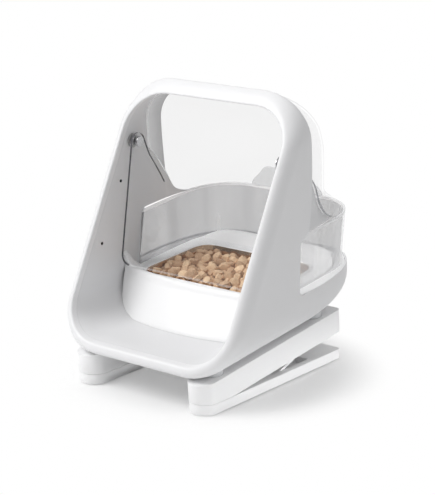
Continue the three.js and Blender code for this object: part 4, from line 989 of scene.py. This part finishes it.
# %% Ledge of the housing
LEDGE = 83.2
LEDGE_CENTRE = 205.0
SHELL_ROOM = 2.6
columns = len(spread)
rim = {len(rows) * columns - 1 - column for column in range(columns)}
for number, row in enumerate(rows):
    if row[0][1] > BLOCK_FRONT + 16:
        rim |= {number * columns, number * columns + columns - 1}
with editing(housing, None) as mesh:
    for vert in mesh.verts:
        vert.select = vert.index in rim
    for line in mesh.edges:
        line.select = all(vert.index in rim for vert in line.verts) and line.is_boundary
    bmesh.update_edit_mesh(housing.data)
    bpy.ops.mesh.select_mode(type="EDGE")
    for drop in (0.3, 0.2, 0.2):
        bpy.ops.mesh.extrude_edges_move(TRANSFORM_OT_translate={"value": (0, 0, -drop)})
for vert in housing.data.vertices:
    if vert.select:
        vert.co.z = LEDGE
with editing(housing, None):
    bpy.ops.mesh.extrude_edges_move(TRANSFORM_OT_translate={"value": (0, 0, 0)})
for vert in housing.data.vertices:
    if vert.select:
        away = Vector((vert.co.x, max(0.0, vert.co.y - LEDGE_CENTRE), 0)).normalized()
        for _ in range(60):
            step = vert.co + away * 0.5
            room = tub_half(LEDGE, step.y) - SHELL_ROOM
            if abs(step.x) > room or step.y > BODY_REAR - SHELL_ROOM:
                break
            vert.co = step
face_away(housing, (0, 180, 40))
modify(housing, "SOLIDIFY", thickness=2.0, offset=-1)
print("housing vertices:", len(housing.data.vertices))

# %% [markdown]
# The bowl's outline is a trapezoid with round corners, a little narrower at the rear. The
# same outline, grown or shrunk by a margin, gives the housing's hole, the bowl's rows and
# the room for the food, so the three always fit each other.

# %% Bowl outline and the housing's hole
BOWL = dict(front=116.0, rear=223.0, front_half=87.0, rear_half=79.0, corner=20.0)
BOWL_RIM = 85.0
BOWL_MIDDLE = 170.0


def bowl_outline(margin, steps=9):
    """The bowl's rounded trapezoid, grown by a margin, as XY points."""
    front_half, rear_half = BOWL["front_half"] + margin, BOWL["rear_half"] + margin
    y0, y1 = BOWL["front"] - margin, BOWL["rear"] + margin
    corners = [Vector(p) for p in ((-front_half, y0), (front_half, y0),
                                   (rear_half, y1), (-rear_half, y1))]
    reach = BOWL["corner"] + margin
    points = []
    for i, corner in enumerate(corners):
        following = corners[(i + 1) % 4]
        before = corner + (corners[i - 1] - corner).normalized() * reach
        after = corner + (following - corner).normalized() * reach
        end = following + (corner - following).normalized() * reach
        points += [before * (1 - t) ** 2 + corner * 2 * t * (1 - t) + after * t * t
                   for t in np.linspace(0, 1, steps)]
        points += [after.lerp(end, t) for t in np.linspace(0, 1, steps + 3)[1:-1]]
    return [(p.x, p.y) for p in points]


combine(housing, upright(bowl_outline(0.4), 60, 110))
soften(housing, 0.5)
dress(housing, WHITE)
finished(housing, "feeder_body", "bowl_housing")

# %% [markdown]
# Drawn steel is brushed: fine streaks run one way and change its gloss more than its colour. The
# rolled rim is painted paler as a painted highlight, and the inner wall is painted the food's warm
# brown as a painted reflection, so the same network is made three times with its own tones.

# %% Steel
BRUSH_STRETCH = (60, 2500, 2500)


def steel(name, dark, pale, roughness=(0.12, 0.22), metallic=1.0):
    made, tree, shader = new_material(name)
    brush = noise(tree, 1, 3, BRUSH_STRETCH)
    shade = add(tree, "Mix", data_type="RGBA")
    feed(tree, shade, {0: brush, 6: (*dark, 1), 7: (*pale, 1)})
    bump = add(tree, "Bump", {"Strength": 0.06, "Distance": GRAIN_DEPTH, "Height": brush})
    feed(tree, shader, {"Base Color": shade.outputs[2], "Normal": bump.outputs[0],
                        "Roughness": remap(tree, brush, 0, 1, *roughness), "Metallic": metallic})
    return made


STEEL = steel("drawn_steel", (0.50, 0.50, 0.51), (0.60, 0.60, 0.61))
# Painted highlight: a pale, less metallic steel for the rolled rim.
STEEL_RIM_HIGHLIGHT = steel("rolled_rim", (0.88, 0.88, 0.89), (0.95, 0.95, 0.96), (0.3, 0.45), 0.35)
# Painted reflection: the food's warm brown painted on the steel of the inner wall.
STEEL_FOOD_REFLECTION = steel("steel_beside_food", (0.46, 0.30, 0.19), (0.62, 0.43, 0.29))
print("steels:", STEEL.name, STEEL_RIM_HIGHLIGHT.name, STEEL_FOOD_REFLECTION.name)

# %% [markdown]
# The bowl is deep drawn from thin steel: a flat rolled rim, steep sides and round corners
# that run into the floor. A loft of one outline, shrunk row by row, gives the same shape.

# %% Food bowl
def ring_loft(name, rings):
    """A loft through rings of points, closed by a face at its end."""
    bpy.ops.object.select_all(action="DESELECT")
    bpy.ops.mesh.primitive_circle_add(vertices=len(rings[0]))
    obj = bpy.context.object
    obj.name = name
    with editing(obj):
        for _ in rings[1:]:
            bpy.ops.mesh.extrude_edges_move(TRANSFORM_OT_translate={"value": (0, 0, 1)})
        bpy.ops.mesh.edge_face_add()
    verts = obj.data.vertices
    levels = {}
    for vert in verts:
        levels.setdefault(round(vert.co.z), []).append(vert.index)
    for level, ring in enumerate(rings):
        order = sorted(levels[level], key=lambda i: math.atan2(verts[i].co.y, verts[i].co.x))
        for index, point in zip(order, ring):
            verts[index].co = point
    obj.data.update()
    return obj


BOWL_DEPTH = 34.0
BOWL_STEEL = 0.8
RIM_ROWS = [(3.4, -0.7), (3.3, -0.1), (2.9, 0.15), (1.2, 0.15), (0.5, -0.05), (0.0, -0.8)]
SIDE_ROWS = [(0.02, 0.06), (0.05, 0.14), (0.09, 0.235), (0.125, 0.5), (0.16, 0.765),
             (0.19, 0.86), (0.23, 0.925), (0.3, 0.97), (0.38, 0.99), (0.47, 1.0)]
rings = [[(x, y, BOWL_RIM + rise) for x, y in bowl_outline(margin)] for margin, rise in RIM_ROWS]
rings += [[(x, y, BOWL_RIM - drop * BOWL_DEPTH) for x, y in bowl_outline(-inset * BOWL_DEPTH)]
          for inset, drop in SIDE_ROWS]
bowl = ring_loft("steel_bowl", rings)
face_along(bowl, (0, 0, 1))
modify(bowl, "SOLIDIFY", thickness=BOWL_STEEL, offset=-1)
dress(bowl, STEEL, STEEL_RIM_HIGHLIGHT, STEEL_FOOD_REFLECTION)
# Painted highlight on the rim's faces, and a painted reflection of the food on the sides' faces
# that look inwards.
for face in bowl.data.polygons:
    x, y, z = face.center
    if z > BOWL_RIM - 0.55:
        face.material_index = 1
    elif face.normal.x * x + face.normal.y * (y - BOWL_MIDDLE) < -4:
        face.material_index = 2
finished(bowl, "feeder_body", "food_bowl", smooth=50)

# %% [markdown]
# Dry food is hundreds of small baked pieces, no two alike. The places for them come from
# three loose layers of staggered rows, a little shaken, inside the bowl's outline.

# %% Places of the dry food
def in_outline(x, y, points):
    inside = False
    for (x0, y0), (x1, y1) in zip(points, points[1:] + points[:1]):
        if (y0 > y) != (y1 > y) and x < (x1 - x0) * (y - y0) / (y1 - y0) + x0:
            inside = not inside
    return inside


def pellet_places(level, margin, spacing, seed, keep=1.0):
    random = np.random.default_rng(seed)
    room = bowl_outline(margin, steps=5)
    places = []
    row = 0
    y = BOWL["front"] - 5.0
    while y < BOWL["rear"] + 5:
        x = -100.0 + (row % 2) * spacing / 2
        while x < 100:
            px, py = x + random.normal(0, 1.3), y + random.normal(0, 1.3)
            if in_outline(px, py, room) and random.random() < keep:
                places.append((px, py, level + random.normal(0, 0.7)))
            x += spacing
        y += spacing * 0.86
        row += 1
    return places


places = (pellet_places(70.0, -8.5, 11.0, 1) + pellet_places(76.5, -7.5, 11.2, 2)
          + pellet_places(82.2, -8.2, 12.2, 3, 0.8))
print("pellets:", len(places))

# %% [markdown]
# One low-faced pellet is modelled and copied with its own size, turn and tone. A smooth
# bed under the layers closes the gaps between them. The tone is stored with each pellet,
# and a fine crumb in the colour and the relief makes the surface look baked.

# %% Kibble
KIBBLE_SEED = 7
PELLET = 5.9
BED_LEVEL = 74.0
BED_RISE = 3.0
pellet_random = np.random.default_rng(KIBBLE_SEED)
bpy.ops.object.select_all(action="DESELECT")
bpy.ops.mesh.primitive_cylinder_add(vertices=7, radius=PELLET, depth=PELLET * 2)
seed_pellet = bpy.context.object
soften(seed_pellet, 1.7, segments=1, angle=70)
pellets = []
for place in places:
    pellet = seed_pellet.copy()
    pellet.data = seed_pellet.data.copy()
    scene.collection.objects.link(pellet)
    turn = (Matrix.Rotation(pellet_random.uniform(0, 6.28), 4, "Z")
            @ Matrix.Rotation(pellet_random.normal(0, 0.8), 4, "X")
            @ Matrix.Rotation(pellet_random.normal(0, 0.8), 4, "Y"))
    size = pellet_random.uniform(0.86, 1.1)
    for vert in pellet.data.vertices:
        lump = 1 + pellet_random.normal(0, 0.055)
        x, y, z = vert.co
        vert.co = (x * size * lump, y * size * 0.9 * lump, z * size * 0.6)
    pellet.data.transform(Matrix.Translation(place) @ turn)
    tone = [float(pellet_random.uniform(0, 1))] * len(pellet.data.vertices)
    pellet.data.attributes.new("pellet_tone", "FLOAT", "POINT").data.foreach_set("value", tone)
    pellets.append(pellet)
bpy.data.objects.remove(seed_pellet)
bed = ring_loft("food_bed", [
    [(x * s, BOWL_MIDDLE + (y - BOWL_MIDDLE) * s, BED_LEVEL + BED_RISE * (1 - s))
     for x, y in bowl_outline(-6.4)] for s in (1.0, 0.75, 0.5, 0.2)])
modify(bed, "SUBSURF", levels=2, render_levels=2)
kibble = joined("dry_food", [bed, *pellets])
KIBBLE, tree, shader = new_material("dry_food")
crumb = noise(tree, 420, 4)
each = add(tree, "Attribute", attribute_name="pellet_tone").outputs["Fac"]
baked = calc(tree, "MULTIPLY_ADD", crumb, 0.6, calc(tree, "MULTIPLY_ADD", each, 0.6, -0.05))
ramp = add(tree, "ValToRGB", {0: baked})
dark, pale = ramp.color_ramp.elements
dark.position = 0.15
dark.color = (0.44, 0.25, 0.14, 1)
pale.color = (0.92, 0.67, 0.43, 1)
bump = add(tree, "Bump", {"Strength": 0.5, "Distance": 0.0008, "Height": crumb})
feed(tree, shader, {"Base Color": ramp.outputs[0], "Normal": bump.outputs[0], "Roughness": 0.75})
dress(kibble, KIBBLE)
finished(kibble, "feeder_body", "kibble_bed", smooth=32)

# %% [markdown]
# The guard is a clear wall in the form of a U that flares towards its rim. It is bent from one grid
# like the skins, and its rim takes a denser, pale look, a painted highlight for the light that runs
# inside a clear sheet and comes out at its cut edges. Its inner face and other cut edges are a dark
# film, painted shade.

# %% Rear guard
GUARD = dict(half=107.2, foot=82.8, rear_foot=277.0, rear_rim=285.0, corner=56.0, flare=3.0)
GUARD_LEVELS = (GUARD["foot"], 88, 96, 108, 120, 130, 136, 140.8, 142.4, GUARD_RIM)
CLEAR_WALL = 2.2


def clear_wall(obj, outside, inside, rim):
    """Gives a clear sheet its thickness and its three looks."""
    dress(obj, outside, inside, rim)
    modify(obj, "SOLIDIFY", thickness=CLEAR_WALL, offset=-1, material_offset=1,
           material_offset_rim=2)


def guard_row(z):
    share = (z - GUARD["foot"]) / (GUARD_RIM - GUARD["foot"])
    half = GUARD["half"] - GUARD["flare"] * (1 - share)
    rear = GUARD["rear_foot"] + (GUARD["rear_rim"] - GUARD["rear_foot"]) * share
    corner = GUARD["corner"]
    points = [(-half, y) for y in np.linspace(guard_front(z), rear - corner, 9)]
    points += arc(-half + corner, rear - corner, corner, 180, 90, 19)[1:]
    points += [(x, rear) for x in np.linspace(-half + corner, 0, 6)[1:]]
    points += [(-x, y) for x, y in reversed(points[:-1])]
    return [(x, y, z) for x, y in points]


guard = skin("clear_guard", [guard_row(z) for z in GUARD_LEVELS])
face_away(guard, (0, 180, 100))
clear_wall(guard, CLEAR_GUARD, CLEAR_GUARD_INSIDE_SHADED, CLEAR_RIM_HIGHLIGHT)
# Painted highlight: the band at the guard's top takes the pale rim film. Painted shade: its other
# cut edges take the dark inner film.
for face in guard.data.polygons:
    if face.center.z > 140.9:
        face.material_index = 2
    elif face.material_index == 2:
        face.material_index = 1
soften(guard, 0.6, segments=3, angle=50)
finished(guard, "feeder_body", "rear_guard", smooth=50)

# %% [markdown]
# The hood's foot flares to meet the guard's rim, and its side edges sweep down behind the
# portal. Every row of the grid is a plan curve at one height, and starts and ends on the
# sweeping edge, so no cut is needed.

# %% Clear hood
SIDE_TOP = 214.0
SIDE_LEVELS = (HOOD_FOOT, 147.4, 152, 157, 166, 179, 192, 203, 210, SIDE_TOP)
SIDE_REARS = (231, 221, 212, 206.5, 201, 195, 188.5, 180, 173, wall_rear(SIDE_TOP) + 0.3)
HOOD_LEVELS = [*np.linspace(HOOD_FOOT, 164, 12), *np.linspace(168, 204, 9), 207, 210, 212.5,
               SIDE_TOP, *np.linspace(219, 264, 11), 268, 272, 276, 279, 282, 284.5, 286.5,
               288, 289.2, 290.1, 290.7, HOOD_TOP]


def hood_side(z):
    """How far back the hood's side edge lies at a height."""
    if z >= SIDE_TOP:
        return wall_rear(z) + 0.3
    return smooth_through(z, SIDE_LEVELS, SIDE_REARS)


def hood_row(z, count=65):
    (depth, power), half = hood_plan(z), hood_half(z)
    first = ((hood_side(z) - HOOD_SPRING) / depth) ** (power / 2)
    start = math.asin(min(1.0, first))
    row = []
    for turn in np.linspace(start, math.pi - start, count):
        c, s = math.cos(turn), math.sin(turn)
        x = math.copysign(half * abs(c) ** (2 / power), c)
        row.append((x, HOOD_SPRING + depth * abs(s) ** (2 / power), z))
    return row


rows = [hood_row(z) for z in HOOD_LEVELS]
top = np.array(rows[-1])
crest = np.array([(x, WALL_REAR + 0.3, HOOD_TOP)
                  for x in np.linspace(top[0][0], top[-1][0], len(top))])
rows += [top + (crest - top) * s for s in (0.4, 1.0)]
hood = skin("clear_hood", rows)
face_away(hood, (0, 150, 200))
print("rows of the hood:", len(rows))

# %% [markdown]
# A grip at the foot of the hood's rear is a small sheet that narrows as it rises. Both sheets get
# their thickness and looks, and the dome's sides carry their depth as an attribute, because only
# they carry the band of painted shade inside.

# %% Grip and looks of the hood
TAB_HALF = 50.0
TAB_TOP_HALF = 31.0
TAB_RISE = 25.0
SIDES_FROM = 78
NOT_A_SIDE = 400.0
tab_rows = []
for share in np.linspace(0, 1, 12):
    half = TAB_HALF + (TAB_TOP_HALF - TAB_HALF) * ease(share)
    if share > 0.85:
        half -= 5.0 * ((share - 0.85) / 0.15) ** 2
    tab_rows.append([(x, 285.0 - 1.5 * ease(share), HOOD_FOOT + TAB_RISE * share)
                     for x in np.linspace(-half, half, 21)])
tab = skin("hood_tab", tab_rows)
face_along(tab, (0, 1, 0))
clear_wall(hood, CLEAR_HOOD, CLEAR_HOOD_INSIDE_SHADED, CLEAR_EDGE_SHADE)
clear_wall(tab, CLEAR_TAB, CLEAR_TAB, CLEAR_RIM_HIGHLIGHT)
for piece in (hood, tab):
    soften(piece, 0.5)
# The depth of the painted shade band is stored on the dome's side points only.
band = [v.co.y if abs(v.co.x) > SIDES_FROM else NOT_A_SIDE for v in hood.data.vertices]
hood.data.attributes.new("side_band", "FLOAT", "POINT").data.foreach_set("value", band)
hood = joined("clear_hood", [hood, tab])
finished(hood, "hood", "rear_hood", smooth=50)

# %% [markdown]
# The lid that swings over the food is one clear moulding: a cover bent round the pivot's
# axis and two arms that reach up to the pins. The cover is a grid in swing angle and
# width, and each arm a filled outline, and all three are joined into one body.

# %% Cover of the lid
PIVOT = (144.0, 227.5)
LID_RADIUS = 139.5
LID_HALF = 101.0
LID_FRONT = math.radians(-18.6)
LID_REAR = math.radians(24)
LID_CORNER = 44.0
LID_FILLET = 13.0


def swing(angle, radius):
    return PIVOT[0] + radius * math.sin(angle), PIVOT[1] - radius * math.cos(angle)


def cover_end(x):
    rear = swing(LID_REAR, LID_RADIUS)[0]
    y = rounded(rear, LID_CORNER, abs(x) - (LID_HALF - LID_CORNER))
    return math.asin((y - PIVOT[0]) / LID_RADIUS)


flat = LID_HALF - LID_FILLET
profile = [(x, 0.0) for x in np.linspace(0, flat, 15)]
profile += arc(flat, LID_FILLET, LID_FILLET, -90, 0, 9)[1:]
profile = [(-x, rise) for x, rise in reversed(profile[1:])] + profile
cover = skin("lid_cover", [
    [(x, *swing(LID_FRONT + (cover_end(x) - LID_FRONT) * share, LID_RADIUS - rise))
     for x, rise in profile] for share in np.linspace(0, 1, 25)])
face_along(cover, (0, 0, -1))
modify(cover, "SOLIDIFY", thickness=CLEAR_WALL, offset=-1)
print("cover vertices:", len(cover.data.vertices))

# %% [markdown]
# Each arm is bisected where it leans and then moved inwards, so that it stays clear of the hood
# when the lid swings up. Cut edges of clear sheet get painted shade in front, where they are seen
# against the white, and a painted highlight along the cover.

# %% Arms and looks of the lid
ARM_WALL = 2.4
HUB = 9.5
PIN_BORE = 3.3
ARM_REAR = [(166.0, 112.0), (172.0, 130.0), (174.0, 152.0), (175.0, 172.0), (158.5, 209.0)]
ARM_TUCK = 8.0
TUCK_FROM, TUCK_RUN = (146, 112), (29, 12)
ARM_CUTS = [((0, y, 0), (0, 1, 0)) for y in range(146, 176, 5)]
ARM_CUTS += [((0, 0, z), (0, 0, 1)) for z in (112, 118, 124)]


def tucked(place):
    """How far the arm leans inwards at a place, which keeps it clear of the hood."""
    back, up = (clamp((at - start) / run)
                for at, start, run in zip(place.yz, TUCK_FROM, TUCK_RUN))
    return ARM_TUCK * ease(back * up)


foot = LID_RADIUS - LID_FILLET + 0.8
arm_outline = [swing(LID_FRONT - math.pi / 2, HUB)]
arm_outline += [swing(a, foot) for a in np.linspace(LID_FRONT, cover_end(LID_HALF), 14)]
arm_outline += ARM_REAR
arm_outline += [swing(a, HUB) for a in np.linspace(math.radians(110), LID_FRONT + 1.5 * math.pi,
                                                   14)[:-1]]
for side in (-1, 1):
    arm = across(arm_outline, side * (LID_HALF - ARM_WALL), side * LID_HALF)
    combine(arm, across(disc(*PIVOT, PIN_BORE, 32), side * 90, side * 110))
    with editing(arm):
        for place, normal in ARM_CUTS:
            bpy.ops.mesh.select_all(action="SELECT")
            bpy.ops.mesh.bisect(plane_co=place, plane_no=normal)
    for vert in arm.data.vertices:
        vert.co.x -= side * tucked(vert.co)
    combine(cover, arm, "UNION")
cover.data.materials.clear()
dress(cover, CLEAR_LID, DARK_CUT_EDGE_SHADE, PALE_EDGE_HIGHLIGHT)
# Painted shade on the arms' cut edges at the front and top, and on the cover's cut edges beyond its
# flat width; painted highlight on the cover's cut edges across it.
for face in cover.data.polygons:
    y, z = face.center.y - PIVOT[0], PIVOT[1] - face.center.z
    radius = math.hypot(y, z)
    along = abs(face.normal.y * z + face.normal.z * y) / max(radius, 1e-6)
    if radius < LID_RADIUS - LID_FILLET - 1:
        rim = abs(face.normal.x) < 0.5 and (y < 2 or face.center.z > 168)
        face.material_index = 1 if rim else 0
    elif along > 0.7:
        face.material_index = 2 if abs(face.center.x) < flat else 1
soften(cover, 0.45, angle=50)
finished(cover, "lid", "swing_lid")

# %% [markdown]
# Each riser is a pair of bars: the upper one clips under the feeder, the lower one stands on
# the floor, and they part like scissors from a hinge near the front. Both are the same
# rounded plan raised to a block, cut, and softened at every edge. The left pair is the
# right one's mirror image.

# %% Risers
RISER = dict(inner=60.7, outer=94.1, front=RISER_FRONT, rear=248.0, top=26.7, corner=6.0)
HINGE = Vector((0, 46.0, 3.0))
FOOT_PAD = 1.5
UPPER_PADS = (34.0, 214.0)
UPPER_PAD_ROOM = 11.3
LOWER_PADS = (22.0, 226.0)
LOWER_PAD_ROOM = 9.3
LOWER_LENGTH = 247.0
PIN_LUG = 5.0
LUG_BORE = 2.3
LOWER_TOP = (BODY @ HINGE).z / MM - HINGE.z - 0.3
MIDDLE = (RISER["inner"] + RISER["outer"]) / 2
BODY_TO_GROUND = GROUND.inverted() @ BODY
hinge = BODY_TO_GROUND @ HINGE


def riser_plan(front, rear):
    radius = (RISER["outer"] - RISER["inner"]) / 2
    r = RISER["corner"]
    return (arc(MIDDLE, front + radius, radius, 180, 360, 25)
            + arc(RISER["outer"] - r, rear - r, r, 0, 90, 8)
            + arc(RISER["inner"] + r, rear - r, r, 90, 180, 8))


def around_middle(half, y0, y1):
    x0, x1 = MIDDLE - half, MIDDLE + half
    return [(x0, y0), (x1, y0), (x1, y1), (x0, y1)]


def riser(obj, kind, body, side, label, place):
    soften(obj, 1.1, segments=3, angle=55)
    obj.data.transform(Matrix.Scale(side, 4, (1, 0, 0)))
    weld(obj, 0.001)
    obj.name = f"riser_{kind}_bar_{label}"
    dress(obj, WHITE)
    finished(obj, body, f"riser_{kind}_{label}", place=place)


for side, label in ((-1, "left"), (1, "right")):
    upper = upright(riser_plan(RISER["front"], RISER["rear"]), 0, RISER["top"])
    below = upright([(40, -60), (120, -60), (120, hinge.y), (40, hinge.y)], -60, LOWER_TOP + 0.3)
    below.data.transform(BODY_TO_GROUND.inverted())
    combine(upper, below)
    for y in UPPER_PADS:
        combine(upper, upright(disc(MIDDLE, y, UPPER_PAD_ROOM), RISER["top"] - 1.8, 60))
    combine(upper, upright(around_middle(5.4, 40.6, 51.4), -20, 8.4))
    riser(upper, "upper", "feeder_body", side, label, BODY)

    start = RISER["front"] * math.cos(TILT)
    end = start + LOWER_LENGTH * math.cos(TILT)
    lower = upright(riser_plan(start, end), FOOT_PAD, LOWER_TOP)
    combine(lower, upright(around_middle(9, 124, 192), LOWER_TOP - 8, 40))
    for y in LOWER_PADS:
        combine(lower, upright(disc(MIDDLE, y, LOWER_PAD_ROOM), -5, 3.0))
    lug = across(disc(*hinge.yz, PIN_LUG, 32), MIDDLE - PIN_LUG, MIDDLE + PIN_LUG)
    combine(lower, lug, "UNION")
    combine(lower, across(disc(*hinge.yz, LUG_BORE, 24), MIDDLE - 30, MIDDLE + 30))
    riser(lower, "lower", f"lower_arm_{label}", side, label, GROUND)

# %% [markdown]
# The small parts keep the model's own solids, because their shapes are right, and get
# finishes of their own: plated steel, brass, copper wire, cell jackets and boards.

# %% Finishes of the small parts
METAL = dict(variation=0.12, grain=0.1, metallic=1.0)
CHROME = plastic("bright_steel", (0.70, 0.70, 0.71), gloss=0.2, **METAL)
PLATED = plastic("plated_steel", (0.5, 0.5, 0.5), gloss=0.3, **METAL)
BRASS = plastic("brass", (0.6, 0.42, 0.16), gloss=0.3, **METAL)
COPPER = plastic("copper_wire", (0.55, 0.24, 0.12), gloss=0.35, **METAL)
JACKET = plastic("cell_jacket", (0.12, 0.13, 0.16), gloss=0.3)
BOARD = plastic("circuit_board", (0.03, 0.16, 0.07), gloss=0.4, variation=0.3)
LENS = plastic("status_lens", (0.75, 0.78, 0.8), gloss=0.15)
CARRIED = (
    (CHROME, ("pivot_pin",)),
    (PLATED, ("pivot_bush", "base_screw", "motor_screw", "board_screw", "riser_hinge_pin",
              "prop_pin", "lid_motor", "battery_contact")),
    (JACKET, ("battery_cell",)), (BRASS, ("motor_pinion",)), (COPPER, ("antenna_coil",)),
    (BOARD, ("main_board", "button_board")), (LENS, ("status_lens",)),
    (GREY, ("battery_tray", "drive_gear", "pairing_button")), (BLACK, ("ir_window",)),
    (WHITE, ("base_plate", "battery_door", "riser_prop")), (RUBBER, ("riser_pad", "foot_pad")))
dressed = 0
for material, prefixes in CARRIED:
    for obj in bpy.data.objects:
        if obj.type == "MESH" and obj.name.startswith(prefixes):
            for material_slot in obj.material_slots:
                material_slot.material = material
            dressed += 1
print("carried-over nodes dressed:", dressed)

# %% [markdown]
# The photograph's paper is white with only a soft shadow at the feet. The floor is a pale
# matt sheet that takes the shadow, and towards its distance it passes into plain white.

# %% Floor of the studio
FADE_START = 0.12
FADE_END = 0.20
bpy.ops.object.select_all(action="DESELECT")
bpy.ops.mesh.primitive_plane_add(size=30, location=(0, 0, 0))
floor = bpy.context.object
floor.name = "studio_floor"
paper, tree, matt = new_material("studio_paper")
feed(tree, matt, {"Base Color": (0.92, 0.92, 0.92, 1), "Roughness": 0.95,
                  "Specular IOR Level": 0.1})
glow = add(tree, "Emission", {"Strength": 1.0})
spot = add(tree, "TexCoord").outputs["Object"]
reach = add(tree, "VectorMath", {0: spot}, operation="LENGTH").outputs["Value"]
fade = remap(tree, reach, FADE_START, FADE_END, 0.25, 1.0, interpolation_type="SMOOTHSTEP")
shown = calc(tree, "MULTIPLY", fade, seen_directly(tree))
both = add(tree, "MixShader", {0: shown, 1: matt.outputs[0], 2: glow.outputs[0]})
feed(tree, tree.nodes["Material Output"], {"Surface": both.outputs[0]})
dress(floor, paper)
print("floor:", floor.name)
